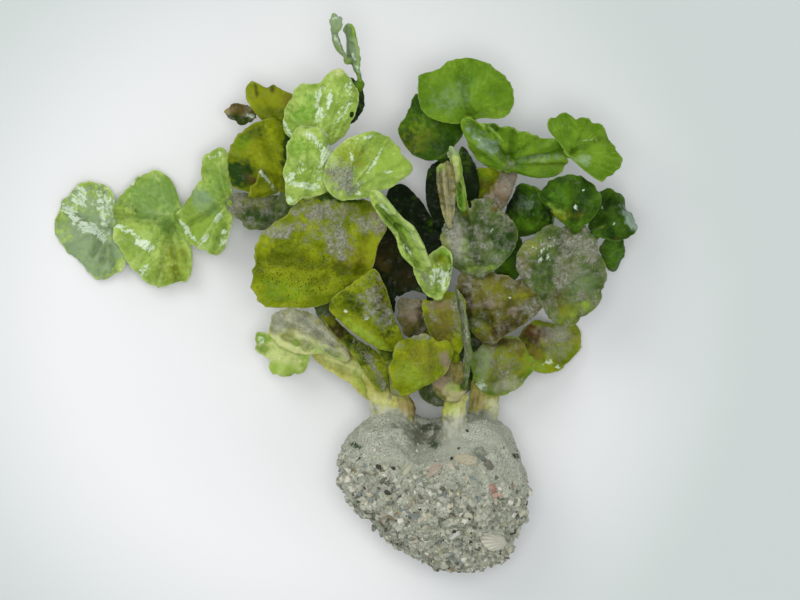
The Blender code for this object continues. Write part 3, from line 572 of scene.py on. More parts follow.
# %% [markdown]
# The joint is a soft bead, wider than it is thick. It reaches from the middle
# of one leaf's thickness to the middle of the other's, so both hold it. A voxel
# remesh later fuses the bead with its leaf.

# %% The soft joint between two leaves
JOINT_RADIUS = 1.2
JOINT_SINK = 0.4
FAR_OFF = 500.0


def inner_point(node, place, near):
    """The middle of a solid's thickness under a place seen from above."""
    tree = TREES[node]
    above = tree.ray_cast(Vector((*place, FAR_OFF)), Vector((0, 0, -1)))[0]
    if above is None:
        return tree.find_nearest(Vector((*place, near)))[0]
    below = tree.ray_cast(Vector((*place, -FAR_OFF)), Vector((0, 0, 1)))[0]
    return (above + below) / 2


def joint_ends(node, parent, place):
    """Where a leaf's joint starts inside the leaf, and where it ends inside its parent."""
    level = (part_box(node)[0][2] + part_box(node)[1][2]) / 2 / MM
    held = inner_point(parent, place, level)
    return inner_point(node, place, held.z), held


def add_bead(piece, start, end, radius):
    """Joins a soft bead between two places to a piece."""
    run = end - start
    bead = added(
        bpy.ops.mesh.primitive_uv_sphere_add,
        segments=20,
        ring_count=12,
        radius=MM,
        location=(start + end) / 2 * MM,
        rotation=run.to_track_quat("Z", "Y").to_euler(),
        scale=(radius, radius, run.length / 2 + JOINT_SINK),
    )
    bpy.ops.object.transform_apply(location=True, rotation=True, scale=True)
    only(piece, bead)
    bpy.ops.object.join()


print("joints can be added")

# %% [markdown]
# A flat plate doesn't look grown. Real leaves are creased along the lines of
# their fan, ruffled at the rim, notched into small scallops and bumpy all over.
# Each of these is a rule on the distance and the angle from the joint. It could
# be a sculpted stroke, but a rule can be used again on every leaf.

# %% The lines that a leaf grew along
class Leaf:
    """A rounded leaf's rim and its fan of lines, in millimetres."""

    def __init__(self, piece, joint):
        corners = points_of(piece)
        self.across = across_direction(corners)
        up = Vector(self.across)
        faces = piece.data.polygons
        rim_faces = [face.vertices[:] for face in faces if abs(face.normal.dot(up)) < FACING]
        self.rim_tree = BVHTree.FromPolygons([Vector(c) for c in corners], rim_faces)
        self.joint = np.array(joint)
        ahead = corners.mean(axis=0) - self.joint
        ahead -= self.across * ahead.dot(self.across)
        self.ahead = ahead / np.linalg.norm(ahead)
        self.aside = np.cross(self.across, self.ahead)

    def measure(self, points):
        """For each point, its distance to the rim, and its angle and distance from the joint."""
        to_rim = np.array([self.rim_tree.find_nearest(Vector(p))[3] for p in points])
        out = points - self.joint
        along = out @ self.ahead
        beside = out @ self.aside
        return to_rim, np.arctan2(beside, along), np.hypot(along, beside)


print("leaves can be measured")

# %% [markdown]
# A furrow is a line that is drawn on the leaf seen from above, with a depth. A
# ridge is a furrow whose depth is below zero.

# %% Crease, ruffle and notch a leaf
RUFFLE_BAND = 2.6  # how far in from the rim a leaf is ruffled
NOTCH_BAND = 1.1
RIM_SPREAD = 0.22  # the scallops reach out a little, because rounding drew the rim in
FOLD_DRIFT = 7.0
FULL_REACH = 95  # the percentage of a leaf's points that lie short of its far end
WANDER = 1.0  # how far the rim wanders in and out
FINE_WANDER = 0.4
BUMPINESS = 1.3
FINE_BUMPINESS = 0.585
FURROW_WANDER = 0.25
DRIFTS = {"creases": 1.4, "ruffles": 2.0, "notches": 2.5}  # how far random lumps bend each
PHASES = {"creases": 1.0, "ruffles": 2.1, "notches": 3.3}  # so no two leaves have the same


def furrow_depth(points, furrow):
    """How deep a furrow is at each point: it runs between two places seen from above."""
    x0, y0, x1, y1, width, depth = furrow
    start = np.array((x0, y0))
    run = np.array((x1, y1)) - start
    out = points[:, :2] - start
    along = np.clip(out @ run / run.dot(run), 0.0, 1.0)
    away = np.linalg.norm(out - along[:, None] * run, axis=1)
    away += FURROW_WANDER * lumps(points, 1.6)
    return depth * np.exp(-((away / width) ** 2))


def crease(leaf, points, measures, seed, form, furrows):
    """Bends a leaf along its fan lines, and ruffles and notches its rim.

    Gives the moved points, and how far each was raised.
    """
    to_rim, angle, distance = measures
    reach = np.minimum(distance / np.percentile(distance, FULL_REACH), 1.0)
    drift = lumps(points, FOLD_DRIFT, seed)

    def waves(kind):
        return np.sin(form[kind] * angle + PHASES[kind] * seed + DRIFTS[kind] * drift)

    lift = waves("creases") * form["depth"] * reach
    lift += waves("ruffles") * form["ruffle"] * np.exp(-to_rim / RUFFLE_BAND) * reach
    lift += lumps(points, 3.0, seed + 3) * form["bumps"] * BUMPINESS
    lift += lumps(points, 1.3, seed + 5) * form["bumps"] * FINE_BUMPINESS
    for furrow in furrows:
        lift -= furrow_depth(points, furrow)
    bite = 0.5 + 0.5 * waves("notches")
    spread = RIM_SPREAD - bite**3 * form["notch"] + WANDER * lumps(points, 3.4, seed + 9)
    spread += FINE_WANDER * lumps(points, 1.2, seed + 11)
    spread *= np.exp(-to_rim / NOTCH_BAND) * reach
    outward = np.outer(np.cos(angle), leaf.ahead) + np.outer(np.sin(angle), leaf.aside)
    return points + leaf.across * lift[:, None] + outward * spread[:, None], lift


print("leaves can be creased")

# %% [markdown]
# Stains, specks and crusts grow in patches with ragged borders. Some patches
# are painted light, not growth: deep shade is painted shade, the dark sand stain
# is partly painted shade in hollows, the blue-grey sheen stain is a painted
# reflection, and the wet film also paints a pale highlight. A patch is given by
# what lies there, its middle seen from above, its half length and half width,
# how far it is turned, and how strong it is.

# %% Patches on a leaf
STAINS = {
    "dark green": (36, 62, 14),
    "deep shade": (18, 30, 10),
    "olive yellow": (136, 144, 22),
    "lime": (150, 180, 66),
    "bright green": (100, 150, 30),
    "leaf green": (112, 150, 58),
    "gold brown": (128, 110, 48),
    "brown": (86, 72, 30),
    "dark brown": (50, 42, 16),
    "grey green": (138, 160, 120),
    # painted reflection: the bluish sheen of the pale sky on satin leaves
    "painted blue sheen": (144, 164, 144),
    "pink grey": (140, 124, 106),
    "maroon": (86, 46, 34),
    "tan": (166, 150, 94),
    "straw": (176, 172, 122),
    "pale fur": (208, 208, 178),
    "pale lime": (206, 212, 142),
    "silt": (168, 170, 152),
    # darker sand, and painted shade in the hollows of the sand and between the stems
    "dark sand and painted shade": (118, 121, 102),
}
LAYERS = ("crust", "specks", "film")
OVERGROWN = {"grey_green": 0.36, "brown_crust": 0.34}  # crust all over
OVERGROWN_VARIES = 1.4
PATCH_RAGGED = 0.5
PATCH_ENDS = 1.3  # where a patch fades out, as a share of its half size
PATCH_FADES = 0.8
SEED_STEP = 1.7  # keeps the borders of a leaf's patches unlike each other


def patch_share(points, seed, patch):
    """How much of a patch lies at each point, from 0 to 1, with a ragged border."""
    x, y, long, wide, turn, strength = patch
    turned = math.radians(turn)
    away_x, away_y = points[:, 0] - x, points[:, 1] - y
    along = away_x * math.cos(turned) + away_y * math.sin(turned)
    beside = away_y * math.cos(turned) - away_x * math.sin(turned)
    out = np.hypot(along / long, beside / wide)
    out += PATCH_RAGGED * (lumps(points, 2.6, seed) + lumps(points, 1.0, seed + 2))
    return np.clip((PATCH_ENDS - out) / PATCH_FADES, 0.0, 1.0) * strength


def lay_patches(piece, points, seed, patches, overgrown=0.0):
    """Keeps the stain, crust, specks and film at each vertex. Returns the crust."""
    colour = np.zeros((len(points), 3))
    cover = np.zeros(len(points))
    layers = {name: np.zeros(len(points)) for name in LAYERS}
    varied = 1 + OVERGROWN_VARIES * lumps(points, 3.2, seed + 4)
    layers["crust"] += np.clip(overgrown * varied, 0.0, 1.0)
    for number, (kind, *patch) in enumerate(patches):
        share = patch_share(points, seed + number * SEED_STEP, patch)
        if kind in layers:
            layers[kind] = np.maximum(layers[kind], share)
        else:
            stain = np.array(srgb(*STAINS[kind])[:3])
            colour = colour * (1 - share)[:, None] + stain * share[:, None]
            cover = cover * (1 - share) + share
    colour /= np.maximum(cover, 1e-6)[:, None]
    set_values(piece, "tint", "FLOAT_COLOR", np.column_stack([colour, cover]))
    for name, amount in layers.items():
        set_values(piece, name, "FLOAT", amount)
    return layers["crust"]


print(len(STAINS), "stains")

# %% [markdown]
# One function now makes a whole leaf. Its arguments are what differs between
# leaves: where it grows from, how it is creased, and what grows on it.

# %% Make a leaf
FINE = 0.25  # the size of a voxel on a leaf
RIM_BAND = 0.4  # how wide the pale rim is
RIM_FADE = 3.0  # a leaf whose half width is less than this has a fainter rim
FAN_LINES = 2.2  # how closely the ribs of the fan lie
FAN_STRETCH = 0.02  # and how slowly they change along their length
CRUST_GRAIN = 0.2
FINE_GRAIN = 0.6  # of that, in finer lumps
SKIN_GRAIN = 0.18
FORM = {  # the usual form of a leaf, which a call can change
    "creases": 4, "depth": 0.45, "ruffles": 9, "ruffle": 0.4,
    "notches": 11, "notch": 0.5, "bumps": 0.42, "swell": 0.0, "rim": 0.75,
}
MADE = []


def dress(piece, node):
    """Gives a piece its node's finish and lets it stand for the node."""
    slot = SLOTS[node]
    piece.data.materials.append(MATERIALS[slot])
    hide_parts(node)
    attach(piece, "root")
    MADE.append(piece)


def push_out(piece, amounts):
    """Moves each vertex along its normal by an amount in millimetres."""
    normals = np.zeros(len(piece.data.vertices) * 3)
    piece.data.vertices.foreach_get("normal", normals)
    set_points(piece, points_of(piece) + normals.reshape(-1, 3) * amounts[:, None])


def make_leaf(node, parent, place, patches=(), furrows=(), joint=JOINT_RADIUS, **changes):
    """Makes the grown leaf that stands for a solid. place is its joint, seen from above."""
    seed = 1.0 + len(MADE)
    form = {**FORM, **changes}
    piece = merged_copy(node)
    rounded(piece)
    start, end = joint_ends(node, parent, place)
    leaf = Leaf(piece, start)
    add_bead(piece, start, end, joint)
    remeshed(piece, FINE)
    points = points_of(piece)
    measures = leaf.measure(points)
    to_rim, angle, distance = measures
    creased, lift = crease(leaf, points, measures, seed, form, furrows)
    set_points(piece, creased)
    # The colour group paints shade into the furrows and a pale highlight onto the ridges by this lift.
    set_values(piece, "relief", "FLOAT", lift)
    pale_rim = np.exp(-((to_rim / RIM_BAND) ** 2)) * min(1.0, to_rim.max() / RIM_FADE)
    # A leaf that is painted as lying in shade is given a fainter rim, so the painted shade reaches its
    # edge.
    pale_rim *= form["rim"]
    set_values(piece, "rim", "FLOAT", pale_rim)
    fan = np.column_stack([angle * FAN_LINES, distance * FAN_STRETCH, np.full(len(points), seed)])
    set_values(piece, "fan", "FLOAT_VECTOR", fan)
    crust = lay_patches(piece, points, seed, patches, OVERGROWN.get(SLOTS[node], 0.0))
    grain = (lumps(points, 0.75, seed) + FINE_GRAIN * lumps(points, 0.4, seed + 1)) * CRUST_GRAIN
    push_out(piece, grain * (SKIN_GRAIN + crust) + form["swell"])
    dress(piece, node)


print("leaves can be made")

# %% [markdown]
# ## The leaves, branch by branch
# Each call below names a leaf, the leaf that it grows from and its joint, and
# then its own stains and painted shade and sheen, crusts, wet films with their
# painted highlights, furrows and ridges, where it has any.

# %% The left chain
make_leaf(
    "left_chain_leaf_1", "left_chain_leaf_2", (-46.8, 14.0),
    patches=[
        ("grey green", -51.5, 11.0, 9.0, 11.0, 0, 0.8), ("film", -53.8, 19.6, 1.9, 2.2, 20, 0.9),
        ("film", -55.6, 16.2, 3.0, 1.1, -48, 1.0), ("film", -52.2, 13.4, 3.4, 1.4, -22, 1.0),
        ("film", -49.0, 11.2, 2.6, 1.2, -40, 0.95), ("film", -48.4, 17.6, 5.0, 2.4, 95, 0.75),
    ],
    furrows=[
        (-49.6, 10.4, -53.2, 4.8, 0.7, 0.5), (-48.6, 9.6, -50.2, 3.8, 0.6, 0.5),
        (-47.6, 9.2, -46.8, 3.6, 0.7, 0.5), (-51.0, 11.4, -57.6, 8.6, 0.7, 0.4),
        (-57.6, 17.2, -50.4, 12.2, 0.9, 0.7), (-50.6, 20.6, -49.0, 14.0, 0.5, -0.3),
        (-48.2, 21.0, -47.6, 14.6, 0.4, -0.35),
    ],
    creases=5, depth=0.25, notches=9, notch=0.4,
)
make_leaf(
    "left_chain_leaf_2", "left_chain_leaf_3", (-33.4, 15.8),
    patches=[
        # The dark green patch along the upper crease is painted shade.
        ("dark green", -42.0, 17.0, 4.4, 1.3, -20, 0.45), ("film", -45.2, 13.2, 2.9, 0.9, -18, 1.0),
        ("film", -41.0, 10.2, 2.6, 1.2, -38, 1.0), ("film", -42.6, 22.6, 2.8, 0.6, 42, 0.8),
        ("film", -40.4, 4.8, 2.2, 1.0, 50, 0.85), ("grey green", -38.0, 18.6, 4.5, 4.5, 0, 0.35),
        ("olive yellow", -34.6, 6.0, 3.4, 5.0, 10, 0.5), ("leaf green", -38.0, 20.0, 6.6, 4.4, 0, 0.7),
        ("leaf green", -35.4, 14.0, 4.4, 3.0, 0, 0.5),
    ],
    furrows=[
        (-35.0, 13.8, -46.4, 15.6, 1.2, 0.8), (-35.7, 12.6, -37.4, 3.2, 0.7, 0.4),
        (-35.2, 12.6, -33.8, 2.6, 0.7, 0.5), (-36.4, 12.6, -41.0, 5.2, 0.7, 0.4),
        (-41.4, 4.6, -37.4, 7.6, 0.4, -0.5), (-34.4, 13.0, -31.6, 6.0, 0.6, 0.35),
    ],
    creases=3, depth=0.3, notches=9, notch=0.5, bumps=0.12,
)
make_leaf(
    "left_chain_leaf_3", "left_chain_leaf_4", (-23.2, 18.0),
    patches=[
        ("leaf green", -26.4, 20.0, 3.4, 6.4, -10, 0.6), ("painted blue sheen", -29.0, 18.6, 3.6, 2.0, -60, 0.4),
        ("leaf green", -28.6, 11.0, 3.0, 3.0, 0, 0.4), ("film", -25.3, 15.3, 1.8, 0.5, 68, 1.0),
        ("film", -28.2, 10.8, 1.9, 0.5, 60, 1.0), ("film", -31.4, 12.2, 4.2, 0.5, -48, 1.0),
        ("film", -26.0, 27.6, 2.2, 0.7, 5, 0.8), ("film", -24.6, 10.6, 2.4, 1.4, 70, 0.7),
        ("lime", -28.6, 13.8, 4.0, 3.0, 30, 0.5), ("film", -22.9, 23.6, 3.0, 0.5, 85, 0.7),
    ],
    furrows=[
        (-24.2, 17.0, -29.4, 10.0, 0.4, -0.5), (-24.0, 16.6, -26.4, 9.0, 0.5, 0.4),
        (-24.6, 18.0, -32.0, 13.4, 0.6, 0.5), (-24.4, 19.0, -27.6, 27.0, 0.6, 0.4),
        (-25.4, 15.8, -25.0, 9.4, 0.4, -0.35), (-24.2, 20.2, -25.4, 27.0, 0.4, -0.3),
    ],
    creases=6, depth=0.35, ruffle=0.45, bumps=0.4,
)
make_leaf(
    "left_chain_leaf_4", "centre_link_leaf", (-13.0, 17.4),
    patches=[
        ("crust", -22.0, 18.0, 3.0, 2.6, -60, 0.85), ("dark green", -16.6, 16.6, 4.6, 2.6, 0, 0.6),
        ("crust", -18.0, 14.0, 4.0, 1.2, -20, 0.6), ("olive yellow", -18.6, 18.6, 4.0, 1.4, -10, 0.5),
    ],
    bumps=0.5,
)
print(len(MADE), "leaves so far")

# %% The upper left
make_leaf(
    "upper_left_round_leaf", "centre_link_leaf", (-12.4, 21.2),
    patches=[
        # The dark green on the lower left lobe and the dark green strip at the right edge are painted
        # shade, where the neighbouring leaves shade this one.
        ("dark green", -21.0, 23.6, 3.4, 3.0, -30, 1.0), ("brown", -18.8, 22.8, 1.8, 1.0, -30, 0.8),
        ("dark green", -11.6, 29.0, 6.0, 1.4, 85, 0.9), ("olive yellow", -17.0, 29.0, 4.0, 3.6, 0, 0.4),
        ("dark green", -18.0, 32.0, 4.0, 1.4, 20, 0.5),
        ("bright green", -21.0, 30.0, 3.4, 1.8, 60, 0.3),
    ],
    furrows=[(-13.6, 22.4, -22.4, 26.8, 0.8, 0.6), (-13.0, 23.0, -17.0, 32.6, 0.8, 0.4)],
    depth=0.4, notches=7, notch=0.3, bumps=0.14,
)
make_leaf(
    "upper_left_lobed_leaf", "upper_left_round_leaf", (-14.4, 34.2),
    patches=[
        ("olive yellow", -15.0, 38.4, 6.0, 4.0, 0, 0.7), ("dark brown", -17.9, 40.6, 0.45, 1.3, 10, 0.7),
        ("dark brown", -14.6, 40.9, 0.5, 0.9, 0, 0.7), ("gold brown", -11.4, 38.6, 1.8, 1.6, 0, 0.4),
        ("dark green", -14.2, 36.0, 3.4, 1.4, 0, 0.4),
    ],
    furrows=[(-14.6, 35.4, -17.2, 41.4, 0.6, 0.4)],
    depth=0.2, notches=6, bumps=0.12,
)
make_leaf(
    "upper_left_tip", "upper_left_lobed_leaf", (-18.6, 36.6),
    patches=[
        ("tan", -23.4, 37.0, 1.8, 1.0, 0, 0.95), ("brown", -21.0, 37.0, 2.2, 1.2, 0, 0.8),
        ("dark green", -20.6, 34.6, 2.6, 1.2, -15, 0.8), ("film", -18.6, 35.4, 1.0, 0.5, -30, 1.0),
    ],
    joint=0.9, depth=0.2,
)
make_leaf(
    "upper_left_stalk_leaf", "upper_left_round_leaf", (-14.4, 20.6),
    patches=[("film", -15.6, 22.6, 2.8, 0.7, -52, 1.0), ("olive yellow", -17.4, 20.0, 2.0, 1.2, 0, 0.8)],
    joint=0.9, depth=0.2,
)
print(len(MADE), "leaves so far")

# %% The top
make_leaf(
    "top_dark_leaf", "centre_glossy_leaf", (1.2, 35.4),
    patches=[("deep shade", 1.0, 38.0, 4.0, 6.0, 0, 0.7)],
    rim=0.4,
)
make_leaf(
    "top_edge_leaf", "top_dark_leaf", (2.9, 42.2),
    patches=[("grey green", 1.6, 49.0, 6.0, 1.6, -75, 0.9), ("film", 1.9, 47.0, 3.4, 0.4, -70, 0.9)],
    joint=1.1, depth=0.2, ruffle=0.3, notch=0.3, bumps=0.5, swell=0.1,
)
make_leaf(
    "top_thin_leaf", "top_edge_leaf", (1.2, 46.6),
    patches=[("film", -0.9, 49.4, 2.4, 0.35, -62, 0.7), ("grey green", -0.8, 49.6, 4.4, 1.4, -62, 0.8)],
    joint=0.9, depth=0.1, ruffle=0.25, notch=0.2, bumps=0.4, swell=0.1,
)
make_leaf(
    "top_bud", "top_thin_leaf", (-1.9, 52.4),
    patches=[("film", -2.0, 54.6, 1.0, 0.5, 30, 0.8), ("grey green", -2.0, 53.6, 2.0, 2.4, 0, 0.8)],
    joint=0.9, depth=0.1, ruffle=0.25, notch=0.4, bumps=0.5, swell=0.05,
)
print(len(MADE), "leaves so far")

# %% The centre
make_leaf(
    "centre_glossy_leaf", "centre_bumpy_leaf", (-6.0, 31.6),
    patches=[
        ("bright green", -8.0, 36.4, 4.0, 2.6, 60, 0.6), ("film", -5.4, 38.4, 2.6, 0.6, 85, 1.0),
        ("film", -3.2, 37.6, 2.6, 0.7, 80, 1.0), ("film", -4.6, 41.0, 1.8, 0.5, -30, 0.9),
        ("film", -5.2, 35.2, 1.8, 0.8, 85, 0.9), ("film", 0.6, 37.6, 3.4, 0.4, 72, 0.85),
        ("film", -11.4, 32.6, 3.8, 0.4, -62, 1.0), ("film", -7.6, 32.8, 2.2, 0.5, 12, 1.0),
        ("film", -4.2, 31.8, 1.8, 0.5, -36, 1.0), ("film", -0.6, 35.4, 3.8, 1.2, 66, 0.62),
        ("film", 0.4, 40.8, 2.8, 1.0, 60, 0.58), ("pale lime", -1.2, 43.6, 2.0, 0.6, 10, 0.6),
    ],
    furrows=[
        (-6.0, 32.6, -4.4, 41.0, 0.7, 0.7), (-3.6, 32.0, -0.8, 41.0, 0.35, -0.3),
        (-2.6, 31.6, 1.2, 40.0, 0.35, -0.3), (-1.6, 31.0, 1.8, 37.6, 0.35, -0.3),
        (-10.2, 30.0, -11.8, 36.0, 0.35, -0.4), (-9.0, 32.6, -4.0, 32.2, 0.5, -0.5),
    ],
    creases=4, depth=0.4, bumps=0.2,
)
make_leaf(
    "centre_bumpy_leaf", "centre_great_leaf", (-7.5, 19.6),
    patches=[
        ("film", -11.0, 23.2, 1.8, 1.2, 40, 0.9), ("film", -7.6, 21.4, 3.2, 0.9, -6, 0.95),
        ("film", -3.6, 27.6, 1.6, 3.4, 0, 0.8), ("film", -6.2, 30.4, 2.8, 0.9, -40, 0.85),
        ("film", -9.0, 25.6, 1.4, 1.8, 20, 0.6), ("film", -5.0, 23.6, 1.2, 2.4, -10, 0.62),
        ("film", -10.6, 18.6, 1.1, 0.6, 0, 0.9), ("bright green", -8.6, 29.2, 2.4, 2.0, 0, 0.5),
    ],
    creases=6, depth=0.35, bumps=0.75, ruffle=0.5,
)
make_leaf(
    "centre_fan_leaf", "centre_bumpy_leaf", (-2.6, 23.4),
    patches=[
        ("crust", -0.8, 23.0, 3.6, 2.6, -50, 0.95), ("film", 6.4, 26.8, 3.4, 0.45, 60, 1.0),
        ("film", 1.4, 27.2, 2.6, 0.3, -72, 0.9), ("film", 4.6, 31.0, 1.8, 0.5, 5, 0.8),
        ("olive yellow", 2.0, 27.0, 4.0, 3.0, 0, 0.5), ("lime", 9.4, 26.0, 4.0, 3.0, 0, 0.6),
        ("film", 8.4, 24.0, 1.8, 0.3, 0, 0.7), ("film", 3.0, 21.4, 1.4, 2.4, 0, 0.6),
    ],
    furrows=[
        (1.0, 20.6, 8.6, 30.6, 0.4, -0.5), (0.0, 21.4, 2.6, 30.6, 0.4, -0.35),
        (2.0, 20.2, 12.6, 26.2, 0.5, 0.45), (0.6, 21.6, 5.2, 31.0, 0.6, 0.4),
    ],
    creases=6, depth=0.35, notch=0.4, bumps=0.2,
)
make_leaf(
    "centre_great_leaf", "low_olive_leaf", (4.6, 3.4),
    patches=[
        ("bright green", -12.0, 0.4, 6.0, 2.6, 0, 0.4), ("olive yellow", -8.0, 4.0, 9.0, 4.4, 0, 0.5),
        ("dark green", -11.0, 8.6, 5.0, 2.2, 10, 0.3), ("dark green", -2.0, 5.0, 4.0, 2.4, 30, 0.3),
        ("gold brown", 1.6, 7.4, 4.0, 3.0, 0, 0.35), ("silt", -14.4, 12.6, 2.6, 1.8, 30, 0.4),
        ("specks", -9.6, 3.6, 10.0, 4.6, 0, 1.0), ("specks", -3.0, 11.0, 8.0, 7.0, 0, 0.6),
        ("crust", -4.2, 16.2, 6.6, 2.2, -6, 1.0), ("crust", -1.2, 9.6, 2.6, 4.0, 20, 0.95),
        ("crust", 5.0, 14.0, 3.4, 2.4, -20, 1.0), ("crust", -11.8, 12.4, 3.8, 1.8, 12, 0.9),
        ("crust", -5.0, 12.4, 4.0, 1.6, 30, 0.5),
        ("dark green", -1.8, 19.0, 6.0, 1.0, -5, 0.9), ("gold brown", -6.6, 19.6, 3.0, 0.7, 15, 0.8),
        ("olive yellow", 5.0, 9.4, 3.6, 3.6, 0, 0.9), ("gold brown", 7.4, 12.6, 1.6, 0.9, 40, 0.7),
        ("pink grey", 6.4, 15.4, 1.8, 1.0, 0, 0.6),
    ],
    furrows=[
        (2.6, 4.4, -14.0, 6.8, 1.2, 0.7), (3.0, 5.0, -4.6, 17.6, 1.0, 0.5),
        (3.6, 5.0, 4.4, 17.4, 0.9, 0.5), (2.0, 4.0, -16.0, 0.0, 1.0, 0.3),
    ],
    creases=4, depth=0.5, bumps=0.42, notch=0.5,
)
make_leaf(
    "centre_ribbon_leaf", "centre_ribbon_foot", (16.4, 5.4),
    patches=[
        ("dark green", 11.0, 10.6, 5.0, 0.7, -56, 0.4), ("bright green", 11.4, 14.0, 8.6, 1.6, -48, 0.5),
        ("film", 12.2, 8.6, 1.0, 0.3, -64, 1.0), ("film", 10.6, 11.6, 0.8, 0.3, -50, 1.0),
        ("film", 13.4, 7.6, 2.6, 0.3, -62, 0.9), ("film", 8.0, 16.8, 3.0, 0.3, -52, 0.9),
        ("film", 13.8, 10.6, 2.4, 0.3, -62, 0.8),
    ],
    furrows=[
        (6.4, 20.0, 9.4, 16.6, 0.8, -1.3), (9.4, 16.6, 13.0, 13.4, 0.8, -1.6),
        (13.0, 13.4, 14.9, 10.0, 0.8, -1.7), (14.9, 10.0, 16.6, 5.8, 0.7, -1.5),
        (6.6, 17.0, 10.8, 12.8, 0.5, 1.0), (10.8, 12.8, 12.9, 8.2, 0.5, 1.2),
        (12.9, 8.2, 14.9, 4.8, 0.5, 1.1),
    ],
    depth=0.1, ruffle=0.3, notch=0.6, bumps=0.3,
)
make_leaf(
    "centre_ribbon_foot", "low_crusted_leaf", (18.6, -0.6),
    patches=[
        ("bright green", 20.0, 7.0, 2.4, 1.6, 0, 0.6), ("crust", 15.6, 3.8, 1.4, 2.6, 25, 0.9),
        ("film", 19.0, 3.0, 2.4, 2.2, 50, 0.9), ("film", 17.4, 2.0, 1.0, 1.8, 0, 0.8),
        ("olive yellow", 19.6, 6.4, 2.4, 1.2, 0, 0.6), ("dark green", 21.0, 4.0, 0.8, 3.0, 0, 0.5),
    ],
    furrows=[
        (18.6, 0.6, 20.8, 7.6, 0.7, 0.6), (17.8, 0.4, 15.4, 5.0, 0.6, -0.5),
        (18.4, 8.4, 21.4, 7.4, 0.6, -0.6),
    ],
    bumps=0.6, ruffle=0.5,
)
make_leaf(
    "centre_dark_leaf", "low_crusted_leaf", (17.6, -1.0),
    patches=[
        ("deep shade", 11.0, 8.0, 22.0, 20.0, 90, 0.95), ("dark brown", 8.6, 8.0, 3.4, 4.0, 20, 0.7),
        ("dark brown", 12.4, 3.0, 4.0, 2.0, 20, 0.6), ("brown", 7.6, 5.4, 2.0, 1.0, -40, 0.5),
        ("deep shade", 8.4, -2.6, 3.0, 5.0, 0, 1.0),
    ],
    rim=0.15,
)
make_leaf(
    "centre_link_leaf", "lower_left_strap", (-3.6, -5.0),
    patches=[("crust", -6.0, 10.0, 8.0, 12.0, 0, 0.5), ("dark green", -8.0, 16.0, 6.0, 5.0, 0, 0.5)],
)
make_leaf(
    "centre_under_leaf", "stem_right", (28.0, -16.4),
    patches=[("dark green", 25.0, -9.0, 9.0, 9.0, 0, 0.7)],
)
print(len(MADE), "leaves so far")

# %% The low centre
make_leaf(
    "low_olive_leaf", "low_olive_stalk", (9.2, -10.6),
    patches=[
        ("dark brown", 7.6, -1.0, 2.2, 7.0, 8, 0.6), ("crust", 5.4, -1.4, 2.8, 5.0, 10, 0.7),
        ("dark green", 1.6, -1.6, 4.0, 2.0, -30, 0.6), ("dark green", 8.6, -6.0, 2.4, 3.0, 0, 0.4),
        ("olive yellow", 1.8, -5.4, 4.6, 1.2, -34, 0.6), ("lime", 4.6, -8.6, 6.0, 1.2, -34, 0.45),
        ("crust", 8.4, -4.6, 2.6, 2.6, 0, 0.6),
        ("film", 0.2, -3.8, 0.45, 0.35, 0, 1.0), ("film", 4.6, -5.2, 0.6, 0.5, 0, 1.0),
        ("specks", 3.0, -1.0, 6.0, 5.0, 0, 0.7),
    ],
    furrows=[(8.2, -9.0, 1.0, -2.4, 0.9, 0.5)],
    bumps=0.3, notch=0.4,
)
make_leaf(
    "low_olive_stalk", "stem_left", (10.2, -19.4),
    patches=[
        ("dark green", 9.0, -12.6, 3.0, 4.0, 0, 0.7), ("crust", 9.6, -16.4, 1.6, 4.4, 0, 0.6),
        ("silt", 10.4, -20.0, 2.4, 1.4, 0, 0.6),
    ],
)
make_leaf(
    "low_front_leaf", "low_base_leaf", (17.0, -16.6),
    patches=[
        ("lime", 13.6, -16.4, 3.6, 3.0, 0, 0.35), ("olive yellow", 17.0, -12.0, 3.6, 2.6, 0, 0.4),
        ("gold brown", 15.0, -12.6, 5.0, 4.0, 0, 0.3), ("dark green", 18.0, -13.4, 1.8, 3.0, 20, 0.3),
        ("crust", 15.0, -8.9, 2.6, 0.7, -8, 0.95), ("crust", 11.2, -10.6, 1.4, 1.0, 45, 0.5),
        ("film", 11.4, -9.6, 2.4, 0.35, 42, 0.9), ("pink grey", 20.6, -14.4, 1.4, 2.4, 20, 0.7),
        ("specks", 14.6, -13.0, 5.0, 4.0, 0, 0.5),
    ],
    furrows=[(16.6, -15.8, 12.4, -11.0, 0.9, 0.35), (17.0, -15.0, 17.4, -10.2, 0.7, 0.4)],
    notches=9, notch=0.6, bumps=0.25,
)
make_leaf(
    "low_base_leaf", "stem_middle", (22.0, -20.8),
    patches=[
        ("pink grey", 19.6, -17.6, 3.0, 2.4, 0, 0.7), ("straw", 22.4, -20.6, 3.0, 1.8, 0, 0.8),
        ("tan", 21.6, -15.8, 2.4, 2.0, 0, 0.4), ("crust", 18.4, -16.4, 2.0, 1.4, 0, 0.6),
        ("lime", 21.6, -18.6, 1.6, 1.0, 0, 0.4),
    ],
    bumps=0.4,
)
make_leaf(
    "low_crusted_leaf", "low_base_leaf", (21.8, -13.0),
    patches=[
        ("dark green", 19.6, -6.4, 3.0, 3.6, 0, 0.5), ("pink grey", 19.0, -2.2, 3.6, 1.4, 0, 0.5),
        ("gold brown", 19.6, -5.0, 4.0, 5.0, 0, 0.45), ("brown", 19.0, -9.0, 2.4, 2.0, 0, 0.5),
        ("crust", 22.4, -3.4, 1.4, 4.0, 0, 0.7), ("crust", 17.6, -4.0, 1.8, 2.6, 0, 0.6),
        ("crust", 19.6, -11.4, 2.0, 1.8, 0, 0.6),
    ],
    bumps=0.4,
)
